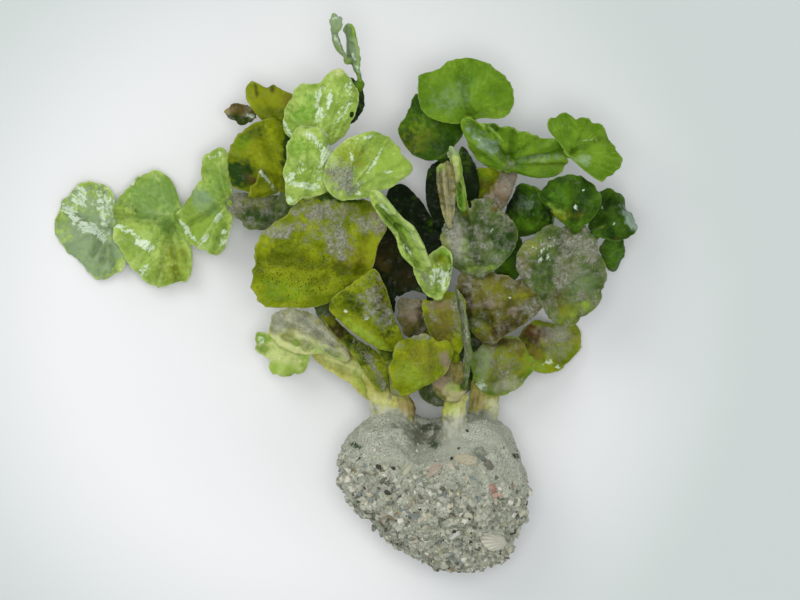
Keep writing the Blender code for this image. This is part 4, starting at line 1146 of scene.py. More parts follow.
make_leaf(
    "low_pink_leaf", "low_crusted_leaf", (16.4, -4.6),
    patches=[
        ("pink grey", 12.8, -3.6, 3.4, 3.0, 0, 0.7), ("crust", 13.4, -2.4, 2.8, 1.2, 0, 0.7),
        ("dark brown", 15.4, -5.0, 1.2, 3.0, 0, 0.7), ("dark green", 17.4, -6.8, 2.0, 2.4, 0, 0.6),
        ("brown", 11.6, -6.6, 2.0, 1.6, 0, 0.5),
    ],
    bumps=0.5,
)
make_leaf(
    "low_edge_leaf", "low_base_leaf", (23.6, -18.6),
    patches=[("crust", 23.8, -8.0, 10.0, 1.0, 94, 0.75), ("film", 24.4, -8.6, 2.2, 0.3, 88, 0.7)],
    joint=0.8, depth=0.3, ruffle=0.3, bumps=0.3,
)
print(len(MADE), "leaves so far")

# %% The lower left
make_leaf(
    "lower_left_pale_leaf", "stem_left", (6.2, -16.8),
    patches=[
        ("pale lime", 0.0, -14.4, 6.4, 1.8, -24, 0.6), ("crust", 1.4, -11.6, 4.0, 0.9, -20, 0.6),
        ("lime", 3.4, -18.0, 3.0, 1.6, -50, 0.5),
    ],
    furrows=[(5.6, -18.0, -4.6, -13.4, 0.8, 0.5), (6.4, -16.4, -3.0, -12.0, 0.5, 0.4)],
    bumps=0.4, ruffle=0.4,
)
make_leaf(
    "lower_left_furry_leaf", "lower_left_pale_leaf", (0.0, -13.0),
    patches=[
        ("pale fur", -8.0, -7.0, 9.6, 3.4, -36, 0.85), ("pale lime", -9.6, -10.4, 7.4, 2.4, -14, 0.9),
        ("brown", -3.2, -6.8, 4.4, 0.6, -42, 0.6), ("crust", -4.6, -8.6, 5.4, 1.0, -38, 0.35),
        ("silt", -14.0, -5.6, 1.8, 3.0, 0, 0.7), ("olive yellow", -11.2, -7.8, 1.2, 0.8, 0, 0.5),
        ("silt", -6.0, -7.4, 6.0, 1.0, -38, 0.6),
        ("lime", -4.0, -12.0, 5.0, 0.9, -24, 0.6),
    ],
    furrows=[
        (-1.4, -12.4, -12.0, -8.8, 0.8, 0.8), (0.0, -11.2, -13.0, -5.6, 0.7, 0.6),
        (-7.0, -11.6, -14.6, -7.4, 0.5, 0.5), (-2.0, -9.4, -9.0, -4.4, 0.5, -0.5),
    ],
    bumps=0.7, ruffle=0.6,
)
make_leaf(
    "lower_left_tip", "lower_left_furry_leaf", (-10.0, -10.6),
    patches=[
        ("pale lime", -12.4, -12.6, 5.0, 3.4, -30, 0.6), ("film", -17.0, -9.4, 1.6, 0.8, 60, 0.6),
        ("lime", -13.0, -15.4, 3.4, 1.6, 0, 0.6),
    ],
    bumps=0.4, ruffle=0.5,
)
make_leaf(
    "lower_left_strap", "stem_left", (7.4, -18.0),
    patches=[
        ("dark brown", -1.4, -6.6, 5.0, 2.4, -42, 0.85), ("dark green", 3.4, -10.6, 4.0, 3.0, -50, 0.6),
        ("crust", 6.4, -16.0, 4.0, 0.9, -62, 0.9), ("olive yellow", -3.6, -5.0, 1.6, 0.8, -40, 0.5),
    ],
    furrows=[(7.4, -18.4, 0.0, -6.4, 0.7, 0.4)],
    bumps=0.3,
)
print(len(MADE), "leaves so far")

# %% The upper right
make_leaf(
    "upper_right_big_leaf", "upper_right_long_leaf", (24.6, 34.9),
    patches=[
        ("grey green", 21.0, 39.0, 4.6, 3.6, 30, 0.35), ("bright green", 28.0, 41.0, 5.0, 4.0, 0, 0.2),
    ],
    furrows=[(24.7, 36.0, 23.2, 45.4, 1.0, 0.8), (25.6, 35.8, 31.6, 37.0, 0.8, 0.4)],
    creases=3, depth=0.25, ruffle=0.2, notches=7, notch=0.4, bumps=0.08,
)
make_leaf(
    "upper_right_under_leaf", "right_narrow_dark_leaf", (19.4, 27.2),
    patches=[
        ("olive yellow", 14.4, 31.0, 4.4, 3.6, 20, 0.35), ("bright green", 14.6, 35.0, 3.0, 3.0, 0, 0.3),
        ("dark green", 19.6, 29.4, 4.0, 3.0, 0, 0.6),
    ],
    creases=3, depth=0.3, bumps=0.2,
)
make_leaf(
    "upper_right_long_leaf", "right_crusted_stalk", (32.6, 25.0),
    patches=[
        ("painted blue sheen", 28.0, 29.8, 4.4, 1.6, -42, 0.6), ("dark green", 29.4, 33.0, 2.0, 1.2, 0, 0.6),
        ("painted blue sheen", 38.6, 26.8, 5.6, 0.9, 4, 0.4), ("lime", 40.0, 25.6, 4.4, 1.6, 0, 0.25),
        ("film", 26.4, 30.8, 1.6, 0.3, -50, 0.6), ("crust", 32.6, 25.0, 1.8, 1.0, 0, 0.6),
    ],
    furrows=[
        (32.4, 26.4, 25.0, 33.0, 1.0, 0.9), (33.6, 26.2, 44.0, 28.0, 0.5, 0.45),
        (33.8, 25.2, 43.6, 25.4, 0.45, 0.4), (33.0, 27.0, 38.4, 30.6, 0.6, 0.6),
        (32.6, 27.2, 33.6, 31.6, 0.6, 0.6), (31.6, 26.4, 28.6, 32.8, 0.5, 0.5),
    ],
    creases=5, depth=0.4, ruffles=14, ruffle=0.55, notches=15, notch=0.9, bumps=0.2,
)
make_leaf(
    "upper_right_outer_leaf", "upper_right_long_leaf", (44.6, 28.0),
    patches=[
        ("film", 48.0, 30.4, 2.4, 0.2, 4, 0.7), ("painted blue sheen", 47.4, 26.6, 1.8, 1.2, 0, 0.5),
        ("lime", 50.0, 28.0, 5.0, 4.0, 0, 0.25),
    ],
    furrows=[
        (45.4, 28.2, 50.8, 30.6, 0.6, 0.5), (45.2, 28.6, 44.6, 35.4, 0.7, 0.35),
        (45.6, 27.8, 53.6, 25.6, 0.7, 0.35), (45.6, 28.4, 49.0, 34.6, 0.6, 0.3),
    ],
    creases=4, depth=0.3, notches=10, notch=0.7, bumps=0.14,
)
print(len(MADE), "leaves so far")

# %% The right
make_leaf(
    "right_shiny_leaf", "right_crusted_leaf", (46.0, 13.0),
    patches=[
        ("brown", 41.0, 15.6, 1.6, 1.2, 0, 0.5), ("olive yellow", 43.6, 15.4, 3.0, 1.2, 0, 0.4),
        ("brown", 47.0, 16.0, 1.2, 0.8, 30, 0.4), ("film", 39.2, 20.6, 0.4, 0.3, 0, 1.0),
        ("film", 47.6, 20.4, 0.4, 0.3, 0, 1.0), ("film", 46.0, 17.0, 0.5, 0.7, 0, 0.9),
        ("bright green", 43.0, 19.0, 3.4, 2.6, 0, 0.35), ("lime", 41.6, 16.8, 2.6, 0.7, -40, 0.4),
    ],
    furrows=[(46.0, 14.4, 45.4, 22.0, 0.8, 0.6), (45.4, 14.6, 40.4, 19.6, 0.8, 0.5)],
    depth=0.35, bumps=0.25, notch=0.35,
)
make_leaf(
    "right_back_leaf", "right_shiny_leaf", (41.0, 17.4),
    patches=[
        ("painted blue sheen", 36.2, 17.6, 2.2, 1.8, 20, 0.4), ("deep shade", 33.0, 19.0, 2.2, 3.4, -30, 0.8),
        ("bright green", 35.6, 13.8, 3.4, 1.8, 0, 0.45), ("deep shade", 40.6, 15.8, 1.6, 3.0, 20, 0.6),
    ],
)
make_leaf(
    "right_folded_leaf", "right_crusted_leaf", (50.0, 11.8),
    patches=[
        ("painted blue sheen", 57.0, 15.0, 3.6, 1.3, -55, 0.8), ("film", 51.8, 17.4, 1.4, 0.4, 60, 0.8),
        ("lime", 50.6, 13.0, 2.4, 0.6, 20, 0.5), ("brown", 54.0, 11.2, 1.4, 0.7, 0, 0.4),
        ("film", 53.6, 13.6, 0.8, 0.3, 30, 0.8),
    ],
    furrows=[(50.4, 12.4, 53.4, 19.6, 0.7, 0.8), (50.6, 12.2, 57.0, 15.6, 0.6, -0.5)],
    depth=0.4, ruffle=0.4, bumps=0.4,
)
make_leaf(
    "right_hanging_leaf", "right_folded_leaf", (53.4, 11.4),
    patches=[("bright green", 53.8, 8.0, 2.4, 3.4, 0, 0.4)],
    joint=0.9,
)
make_leaf(
    "right_crusted_leaf", "right_brown_leaf", (39.4, -1.4),
    patches=[
        ("olive yellow", 37.0, 9.2, 2.4, 2.2, 40, 0.6), ("crust", 35.2, 5.0, 2.2, 3.0, 0, 0.8),
        ("gold brown", 35.0, 5.4, 1.8, 2.4, 0, 0.4), ("crust", 46.8, 9.4, 5.2, 3.6, -20, 0.9),
        ("brown", 50.0, 9.4, 1.4, 1.4, 0, 0.6), ("film", 40.0, 9.0, 2.6, 3.4, 0, 0.6),
        ("brown", 44.4, 4.0, 1.4, 5.0, -24, 0.5), ("grey green", 47.0, 2.4, 4.0, 3.6, 0, 0.3),
        ("brown", 42.4, -1.8, 2.4, 2.4, 0, 0.5), ("olive yellow", 44.4, -4.4, 5.4, 2.4, 30, 0.45),
        ("lime", 47.6, -2.6, 3.0, 1.0, 40, 0.35),
        ("dark green", 40.0, 6.0, 2.6, 4.0, 0, 0.5), ("crust", 43.4, 4.4, 2.4, 5.0, -20, 0.75),
        ("dark green", 49.0, 3.4, 1.8, 3.0, 0, 0.3), ("crust", 40.6, -2.0, 2.0, 2.4, 0, 0.6),
    ],
    furrows=[(39.8, -0.4, 44.6, 12.4, 0.9, 0.5), (40.4, -1.2, 50.6, 4.4, 0.9, 0.4)],
    creases=4, depth=0.4, bumps=0.5, notch=0.5,
)
make_leaf(
    "right_grey_leaf", "right_brown_leaf", (27.0, 4.0),
    patches=[
        ("dark green", 31.6, 11.0, 2.8, 4.2, 0, 0.8), ("dark green", 27.0, 12.0, 2.4, 5.0, 0, 0.5),
        ("bright green", 30.4, 6.8, 2.4, 1.6, 20, 0.35), ("olive yellow", 24.4, 17.0, 2.0, 1.8, 0, 0.6),
        ("silt", 22.0, 11.0, 1.7, 5.0, 8, 0.7), ("lime", 24.0, 8.4, 0.7, 3.0, 10, 0.25),
        ("lime", 27.6, 4.8, 3.4, 0.8, 0, 0.5), ("crust", 22.0, 12.0, 2.4, 5.4, 10, 0.8),
        ("crust", 26.6, 10.0, 3.0, 5.0, 0, 0.6), ("crust", 32.4, 14.4, 2.0, 1.8, 0, 0.8),
        ("film", 29.2, 12.4, 0.5, 0.5, 0, 0.8), ("olive yellow", 19.8, 9.6, 0.9, 3.4, 0, 0.6),
        ("film", 21.2, 16.4, 0.5, 1.2, 0, 0.7),
    ],
    furrows=[(26.0, 5.0, 20.8, 16.0, 0.5, -0.4), (27.0, 5.0, 23.4, 17.0, 0.6, 0.5)],
    bumps=0.5,
)
make_leaf(
    "right_brown_leaf", "lower_right_inner_leaf", (29.6, -9.4),
    patches=[
        ("olive yellow", 30.4, 0.6, 4.0, 1.6, -10, 0.35), ("dark brown", 24.6, -1.0, 1.4, 4.0, 10, 0.8),
        ("pink grey", 28.8, -2.4, 2.6, 0.8, 0, 0.7), ("maroon", 30.4, -7.4, 2.4, 0.8, 30, 0.5),
        ("dark green", 26.0, -6.0, 2.4, 2.6, 0, 0.6), ("olive yellow", 34.6, -1.0, 2.6, 1.8, 0, 0.35),
        ("olive yellow", 27.4, -7.4, 2.6, 1.4, -40, 0.4), ("dark brown", 33.6, -6.6, 4.0, 1.0, 38, 0.6),
        ("crust", 37.0, -2.6, 3.0, 2.0, 40, 0.8), ("crust", 24.6, 3.4, 2.6, 1.2, 0, 0.7),
        ("pink grey", 33.6, -4.0, 1.2, 1.2, 0, 0.8), ("film", 33.0, -1.0, 0.5, 0.4, 0, 0.9),
    ],
    furrows=[(29.6, -8.0, 25.4, 3.4, 0.9, 0.8), (30.4, -8.0, 38.4, -1.0, 0.9, 0.5)],
    creases=5, depth=0.4, bumps=0.55,
)
make_leaf("right_green_leaf", "right_grey_leaf", (30.6, 9.4))
make_leaf(
    "right_shade_leaf", "right_grey_leaf", (25.0, 17.6),
    patches=[("deep shade", 24.4, 22.0, 6.0, 12.0, 0, 0.9)],
    rim=0.15,
)
make_leaf(
    "right_tan_edge_leaf", "right_grey_leaf", (20.9, 13.4),
    patches=[
        ("straw", 20.4, 19.0, 7.4, 1.7, 97, 0.85), ("brown", 19.3, 20.0, 5.4, 0.4, 100, 0.7),
        ("dark brown", 20.5, 22.0, 3.6, 0.25, 97, 0.7), ("brown", 21.2, 18.0, 5.0, 0.35, 93, 0.6),
        ("lime", 18.7, 25.0, 1.1, 1.1, 0, 0.8), ("crust", 20.8, 15.0, 3.0, 0.8, 94, 0.5),
        ("film", 20.9, 19.6, 2.0, 0.15, 95, 0.8), ("dark brown", 20.9, 25.4, 0.8, 0.4, 0, 0.6),
    ],
    furrows=[
        (18.9, 24.6, 20.0, 14.6, 0.25, 0.6), (20.3, 25.4, 20.7, 14.4, 0.25, 0.5),
        (21.3, 24.8, 21.3, 14.6, 0.25, 0.5), (19.6, 25.2, 20.4, 14.4, 0.2, -0.4),
        (20.9, 25.2, 21.0, 14.4, 0.2, -0.4),
    ],
    joint=0.9, depth=0.1, ruffle=0.2, notch=0.3, bumps=0.25,
)
make_leaf(
    "right_green_edge_leaf", "right_grey_leaf", (23.6, 17.0),
    patches=[
        ("dark green", 22.9, 20.6, 5.0, 0.6, 97, 0.6), ("pale lime", 22.2, 24.6, 3.6, 0.4, 97, 0.7),
        ("grey green", 21.2, 28.4, 1.4, 1.0, 0, 0.6), ("bright green", 23.4, 18.0, 2.4, 1.2, 90, 0.5),
    ],
    furrows=[(21.2, 28.6, 23.0, 17.6, 0.35, 0.6), (22.4, 28.0, 23.6, 18.0, 0.3, -0.4)],
    joint=0.9, depth=0.2, ruffle=0.4,
)
make_leaf(
    "right_narrow_dark_leaf", "centre_dark_leaf", (18.6, 13.8),
    patches=[("deep shade", 19.0, 19.0, 9.0, 14.0, 0, 0.92)],
    rim=0.3,
)
make_leaf(
    "right_olive_leaf", "right_crusted_stalk", (30.6, 22.0),
    patches=[("brown", 28.0, 22.0, 1.8, 1.6, 0, 0.6), ("bright green", 27.4, 23.8, 2.4, 1.4, 0, 0.4)],
)
make_leaf(
    "right_crusted_stalk", "right_grey_leaf", (29.6, 16.8),
    patches=[
        ("pink grey", 32.4, 21.6, 2.8, 5.0, -20, 0.8), ("pink grey", 29.2, 18.0, 2.2, 2.0, 0, 0.7),
        ("brown", 31.0, 18.6, 1.6, 1.2, 30, 0.6), ("crust", 32.8, 22.8, 2.2, 3.2, 0, 0.7),
        ("crust", 29.0, 18.2, 2.0, 1.6, 0, 0.9),
    ],
    bumps=0.55,
)
make_leaf(
    "lower_right_inner_leaf", "stem_right", (29.0, -18.6),
    patches=[
        ("gold brown", 31.4, -14.0, 8.0, 8.0, 0, 0.4), ("olive yellow", 31.4, -14.0, 6.0, 6.0, 0, 0.35),
        ("grey green", 27.4, -14.0, 1.8, 6.0, 0, 0.6),
        ("brown", 28.6, -10.4, 3.0, 1.6, 0, 0.5), ("film", 26.8, -19.0, 1.6, 0.9, 15, 0.95),
        ("silt", 32.4, -18.4, 4.4, 1.2, 15, 0.45), ("crust", 31.4, -14.4, 3.6, 4.0, 0, 0.6),
        ("pink grey", 34.4, -9.8, 2.0, 1.2, -30, 0.5), ("dark green", 30.0, -9.6, 3.4, 1.0, 0, 0.6),
        ("brown", 33.4, -10.4, 3.4, 1.8, -20, 0.6), ("dark brown", 31.0, -8.8, 5.0, 1.6, -6, 0.7),
    ],
    furrows=[(29.2, -17.4, 30.0, -10.0, 0.8, 0.5), (29.8, -17.8, 36.0, -13.6, 0.7, 0.4)],
    bumps=0.35,
)
make_leaf(
    "lower_right_outer_leaf", "lower_right_inner_leaf", (35.8, -13.0),
    patches=[
        ("gold brown", 40.6, -10.6, 6.0, 4.0, 0, 0.45), ("grey green", 42.6, -11.6, 3.0, 2.4, 0, 0.35),
        ("maroon", 37.6, -7.6, 4.0, 1.5, -12, 0.75), ("dark brown", 36.4, -9.4, 3.0, 1.6, -20, 0.6),
        ("silt", 42.4, -8.0, 3.4, 2.0, -10, 0.55), ("crust", 41.6, -9.4, 4.0, 2.4, 0, 0.55),
        ("gold brown", 37.6, -12.4, 2.0, 1.2, -20, 0.4), ("film", 40.6, -13.8, 1.0, 0.9, 10, 0.9),
        ("film", 42.8, -14.8, 0.5, 0.5, 0, 0.9), ("lime", 38.6, -14.4, 2.4, 1.2, -20, 0.5),
    ],
    furrows=[(36.6, -12.6, 44.4, -9.0, 0.8, 0.4)],
    bumps=0.3, notch=0.6,
)
print(len(MADE), "leaves in all")

# %% [markdown]
# ## Stems
# A halimeda's lowest leaves have grown into flat, woody stems. They are pale,
# have fine lengthwise grooves, and wear a coat of silt where they leave the
# sand. Each is a rounded copy of its solid, with the grooves pressed in.

# %% Stems
STEM_VOXEL = 0.25
GROOVE_SPACING = 8.0 / 6
GROOVE_DEPTH = 0.18
GROOVE_DRIFT = 3.0
STEM_BUMPS = 0.9
STEM_FINE_BUMPS = 0.35
STEM_RIBS = (0.5, 0.1)  # how closely a stem's ribs lie, and how slowly they change along it
STEMS = {
    # stem: the line of its middle seen from above, where the sand ends on it, its patches
    "stem_left": ((9.6, -29.0, 8.0, -17.0), -23.6, [
        ("tan", 12.6, -23.0, 2.0, 2.4, 0, 0.8), ("pale fur", 6.6, -22.0, 2.6, 2.4, 0, 0.35),
        ("crust", 9.4, -20.0, 2.4, 1.6, -30, 0.6), ("brown", 13.6, -24.0, 1.0, 3.0, 0, 0.6),
    ]),
    "stem_middle": ((22.0, -30.0, 22.2, -20.0), -25.6, [
        ("lime", 21.4, -22.4, 1.8, 2.4, 0, 0.5), ("pale fur", 22.6, -24.4, 2.2, 1.8, 0, 0.45),
        ("crust", 20.8, -25.0, 1.4, 1.2, 0, 0.5), ("dark sand and painted shade", 24.0, -23.0, 0.8, 3.0, 0, 0.5),
    ]),
    "stem_right": ((27.2, -29.0, 28.6, -17.0), -24.4, [
        ("tan", 26.6, -21.6, 1.6, 2.0, 0, 0.85), ("pale fur", 29.6, -22.4, 1.6, 2.0, 0, 0.6),
        ("crust", 28.6, -23.4, 2.4, 1.0, 0, 0.5),
    ]),
}
SILT_BELOW = 2.2  # how far down from where the sand ends a stem's silt is thickest
SILT_HALF = (6.0, 3.3)  # half width and half length of the silt

for node, (line, sand_end, patches) in STEMS.items():
    seed = 1.0 + len(MADE)
    piece = merged_copy(node)
    rounded(piece, inset=False)
    remeshed(piece, STEM_VOXEL)
    points = points_of(piece)
    x0, y0, x1, y1 = line
    along = (points[:, 1] - y0) / (y1 - y0)
    beside = points[:, 0] - (x0 + along * (x1 - x0))
    drift = GROOVE_DRIFT * lumps(points, 4.0, seed)
    grooves = np.sin(beside * 2 * math.pi / GROOVE_SPACING + drift)
    amounts = grooves * GROOVE_DEPTH / 2 + STEM_BUMPS * lumps(points, 2.6, seed)
    amounts += STEM_FINE_BUMPS * lumps(points, 1.0, seed)
    push_out(piece, amounts)
    # The colour group paints shade into the grooves and a pale highlight onto the bumps by these
    # amounts.
    set_values(piece, "relief", "FLOAT", amounts)
    x_foot = x0 + (sand_end - y0) / (y1 - y0) * (x1 - x0)
    silt = ("silt", x_foot, sand_end - SILT_BELOW, *SILT_HALF, 0, 1.0)
    lay_patches(piece, points, seed, [silt] + patches)
    set_values(piece, "rim", "FLOAT", np.zeros(len(points)))
    across, down = STEM_RIBS
    fan = np.column_stack([beside * across, along * down, np.full(len(points), seed)])
    set_values(piece, "fan", "FLOAT_VECTOR", fan)
    dress(piece, node)
print(len(STEMS), "stems")

# %% [markdown]
# ## The ball of sand
# Fine roots bind a ball of sand, silt and shell bits. Its grains are too many
# to model one by one, so the lump itself gets a grainy skin first, and a few
# thousand separate grains are set on it afterwards.

# %% Sand finish
SAND_DARK = srgb(140, 143, 125)
SAND_PALE = srgb(206, 208, 190)
SAND_CLOUD = srgb(160, 164, 145)
DARK_GRAIN = srgb(46, 46, 38)
SAND_RELIEF = 0.3
SAND_ROUGHNESS = 0.85

SAND, tree, given = new_group("sand", {}, {"Color": "Color", "Height": "Float"})
fine = tree.lumps(0.34, 3.0, rough=0.7)
colour = tree.mix(tree.stretch(fine, 0.3, 0.7), SAND_DARK, SAND_PALE)
cloud = tree.stretch(tree.lumps(5.0, 3.0), 0.4, 0.65, 0.0, 0.5)
colour = tree.mix(cloud, colour, SAND_CLOUD)
dark = tree.stretch(tree.cells(0.8), 0.2, 0.1, 0.0, 0.8)
colour = tree.mix(dark, colour, DARK_GRAIN)
grain = tree.value("grain")
colour = tree.mix(grain[3], colour, grain[0])
tint = tree.value("tint")
edge = tree.math("ADD", tint[3], tree.stretch(tree.lumps(0.8, 3.0), 0.0, 1.0, -0.28, 0.28))
colour = tree.mix(tree.stretch(edge, 0.25, 0.75), colour, tint[0])
finish_group(SAND, {"Color": colour, "Height": fine})

MATERIALS["sand"], tree, skin = new_material("sand")
sand = tree.group(SAND)
bump = tree.add("Bump", {"Height": sand["Height"], "Distance": SAND_RELIEF * MM, "Strength": 1.0})
tree.fill(skin, {"Base Color": sand["Color"], "Roughness": SAND_ROUGHNESS, "Normal": bump[0]})


def lay_loose(piece):
    """Gives the finish of sand to a piece that stands for no solid."""
    piece.data.materials.append(MATERIALS["sand"])
    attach(piece, "root")


print("sand finish ready")

# %% [markdown]
# The lump is a copy of its solid, made smooth, with a collar of sand pressed
# round the foot of each stem. All are fused by a remesh, and then roughened:
# coarse below, where shell grit gathers, and smooth with silt above.

# %% The lump of sand
LUMP_VOXEL = 0.36
LUMP_ROUGH_VOXEL = 0.7
LUMP_SMOOTHING = 12
COLLARS = {
    # stem: middle and half sizes of its collar
    "stem_left": ((9.8, -28.2, 12.6), (6.4, 4.8, 5.0)),
    "stem_middle": ((22.0, -30.4, 18.4), (4.2, 4.4, 4.4)),
    "stem_right": ((27.4, -28.8, 9.6), (5.6, 4.6, 5.0)),
}
COARSE_FROM = -28.0  # y where the silt ends and the grit begins, where x is 0
COARSE_FALL = 0.2  # how much lower that is for each millimetre to the right
COARSE_BAND = 8.0
COARSE_RAGGED = 3.0
SAND_LUMPS = (  # how wide, how high in the silt, how much higher in the grit
    (4.0, 0.9, 0.0), (1.9, 0.35, 1.3), (0.9, 0.12, 0.7),
)
FLAT_BELOW = 0.8
HOLLOWS = (  # middle seen from above, reach, depth
    (16.4, -28.2, 3.4, 4.5), (15.6, -31.6, 2.2, 1.6), (8.0, -50.0, 1.6, 1.2),
    (10.0, -31.0, 4.0, 1.0), (26.6, -31.6, 1.6, 1.4),
)
HOLLOWS_FADE = 20.0  # the lump's lower side stays as it is

ball = merged_copy("holdfast")
for middle, half_size in COLLARS.values():
    collar = added(
        bpy.ops.mesh.primitive_uv_sphere_add,
        segments=24, ring_count=16, radius=MM, location=Vector(middle) * MM, scale=half_size,
    )
    bpy.ops.object.transform_apply(location=True, rotation=True, scale=True)
    only(ball, collar)
    bpy.ops.object.join()
remeshed(ball, LUMP_ROUGH_VOXEL, LUMP_SMOOTHING)
remeshed(ball, LUMP_VOXEL)


def coarseness(points):
    """How gritty the sand is at each point, from 0 to 1."""
    start = COARSE_FROM - COARSE_FALL * points[:, 0] + COARSE_RAGGED * lumps(points, 6.0, 2.0)
    return np.clip((start - points[:, 1]) / COARSE_BAND, 0.0, 1.0)


points = points_of(ball)
grit = coarseness(points)
amounts = np.zeros(len(points))
for seed, (size, in_silt, more_in_grit) in enumerate(SAND_LUMPS, start=1):
    amounts += (in_silt + more_in_grit * grit) * lumps(points, size, seed)
amounts *= np.clip(points[:, 2] / FLAT_BELOW, 0.0, 1.0)
push_out(ball, amounts)
points = points_of(ball)
for x, y, reach, depth in HOLLOWS:
    away = np.hypot(points[:, 0] - x, points[:, 1] - y) / reach
    points[:, 2] -= depth * np.exp(-away * away) * np.clip(points[:, 2] / HOLLOWS_FADE, 0.0, 1.0)
set_points(ball, points)
# The dark sand and deep shade patches in the hollows of the lump, most of all between the stems, are
# painted shade.
SAND_PATCHES = [
    ("dark green", 2.2, -30.4, 0.8, 1.4, 80, 0.7), ("dark green", 34.2, -32.6, 0.6, 1.0, 70, 0.8),
    ("dark sand and painted shade", 14.6, -28.2, 6.0, 2.4, -14, 0.6), ("deep shade", 17.4, -26.8, 2.4, 1.0, 10, 0.5),
    ("dark green", 18.0, -30.6, 0.9, 1.4, 0, 0.6), ("dark sand and painted shade", 8.6, -49.6, 3.0, 1.6, -40, 0.5),
    ("dark sand and painted shade", 27.0, -31.8, 2.2, 1.4, 0, 0.6), ("silt", 21.8, -29.4, 2.6, 3.4, 0, 0.7),
]
lay_patches(ball, points, 3.0, SAND_PATCHES)
set_values(ball, "grain", "FLOAT_COLOR", np.zeros((len(points), 4)))
dress(ball, "holdfast")
print(len(ball.data.polygons), "faces on the lump")

# %% [markdown]
# Only a few grains are modelled: small balls whose points are pushed about at
# random. They are then copied thousands of times into one mesh, each copy
# turned, sized and coloured by its own draw.

# %% A few grains, modelled by hand
GRAIN_KINDS = 8
GRAIN_RAGGED = 0.35
GRAIN_WIDTH = 0.8
FLATTEST = 0.45
ROUNDER = 0.07  # how much rounder each kind is than the one before


def model_grain(seed):
    """A ragged little ball. Each seed gives another."""
    grain = added(bpy.ops.mesh.primitive_ico_sphere_add, subdivisions=1, radius=MM)
    edit_all(grain)
    bpy.ops.transform.vertex_random(offset=GRAIN_RAGGED * MM, uniform=1.0, seed=seed)
    bpy.ops.transform.resize(value=(1.0, GRAIN_WIDTH, FLATTEST + ROUNDER * seed))
    return taken_out(grain)


models = [model_grain(seed) for seed in range(GRAIN_KINDS)]
print(len(models), "grains modelled")

# %% Copy shapes into one mesh
def joined_copies(name, shapes, places, frames, sizes, colours):
    """One mesh of many copies. Each has a shape, a place, a turned frame, a size, a colour."""
    corners, faces, shades = [], [], []
    count = 0
    for (shape, shape_faces), place, turned, size, colour in zip(shapes, places, frames, sizes, colours):
        corners.append((shape * size) @ turned + place)
        faces.extend(tuple(corner + count for corner in face) for face in shape_faces)
        shades.append(np.tile(colour, (len(shape), 1)))
        count += len(shape)
    mesh = bpy.data.meshes.new(name)
    mesh.from_pydata((np.vstack(corners) * MM).tolist(), [], faces)
    piece = bpy.data.objects.new(name, mesh)
    bpy.context.scene.collection.objects.link(piece)
    set_points(piece, np.vstack(corners))
    set_values(piece, "grain", "FLOAT_COLOR", np.vstack(shades))
    set_values(piece, "tint", "FLOAT_COLOR", np.zeros((count, 4)))
    return piece


def random_frame(draw, normal, tilt):
    """A frame whose third axis is near a normal, turned about it at random."""
    axis = normal + draw.normal(0.0, tilt, 3)
    axis /= np.linalg.norm(axis)
    side = np.cross(axis, draw.normal(0.0, 1.0, 3))
    side /= np.linalg.norm(side)
    return np.array((side, np.cross(axis, side), axis))


def places_on(piece, draw, count, weight):
    """Random places on a piece, with the normal there. weight favours some faces."""
    mesh = piece.data
    total = len(mesh.polygons)
    middles, normals, areas = np.zeros(total * 3), np.zeros(total * 3), np.zeros(total)
    mesh.polygons.foreach_get("center", middles)
    mesh.polygons.foreach_get("normal", normals)
    mesh.polygons.foreach_get("area", areas)
    middles, normals = middles.reshape(-1, 3) / MM, normals.reshape(-1, 3)
    chance = areas * weight(middles, normals)
    chosen = draw.choice(total, count, replace=False, p=chance / chance.sum())
    return middles[chosen], normals[chosen]


print("copies can be joined")

# %% Grains on the lump
GRAINS = 5600
GRAIN_SIZE = (0.22, 0.92)
GRAIN_RARITY = 2.6  # the higher, the rarer a large grain is
SILT_GRAIN = 0.45  # how large a grain is in the silt, next to one in the grit
SILT_SHARE = 0.12  # how many grains lie in the silt, next to the grit
GRAIN_TILT = 0.35
FEW_BELOW = 1.0  # under this height there are few grains, because they are hardly seen
ALL_ABOVE = 3.0
FEW = 0.05
GRAIN_COLOURS = (
    # colour, how often
    ((190, 190, 172), 28), ((166, 168, 150), 26), ((140, 143, 126), 20), ((206, 199, 174), 10),
    ((108, 108, 90), 7), ((62, 62, 50), 3), ((222, 219, 202), 9), ((184, 168, 148), 2),
    ((140, 147, 146), 2), ((144, 128, 102), 1), ((172, 170, 130), 3),
)
draw = np.random.default_rng(7)


def grain_weight(middles, normals):
    above = np.clip((middles[:, 2] - FEW_BELOW) / (ALL_ABOVE - FEW_BELOW), FEW, 1.0)
    return (SILT_SHARE + coarseness(middles)) * above


places, normals = places_on(ball, draw, GRAINS, grain_weight)
shares = np.array([share for colour, share in GRAIN_COLOURS], float)
picked = draw.choice(len(GRAIN_COLOURS), GRAINS, p=shares / shares.sum())
colours = np.array([srgb(*GRAIN_COLOURS[k][0]) for k in picked])
gritty = SILT_GRAIN + (1 - SILT_GRAIN) * coarseness(places)
smallest, largest = GRAIN_SIZE
sizes = (smallest + (largest - smallest) * draw.random(GRAINS) ** GRAIN_RARITY) * gritty
frames = [random_frame(draw, normal, GRAIN_TILT) for normal in normals]
shapes = [models[k] for k in draw.integers(0, GRAIN_KINDS, GRAINS)]
grains = joined_copies("sand_grains", shapes, places, frames, sizes, colours)
lay_loose(grains)
print(len(grains.data.polygons), "faces of grains")

# %% [markdown]
# ## Shell bits and pebbles
# Larger bits lie in the sand: plates of broken shell, a cream oval shell, a
# blue-grey stone and a small ribbed clam. Each is a ball that is flattened and
# roughened, or cut and ribbed, and then laid on the lump where it belongs.

# %% Lay a shape on the lump
BALL_TREE = BVHTree.FromPolygons(
    [Vector(p) for p in points_of(ball)], [face.vertices[:] for face in ball.data.polygons]
)


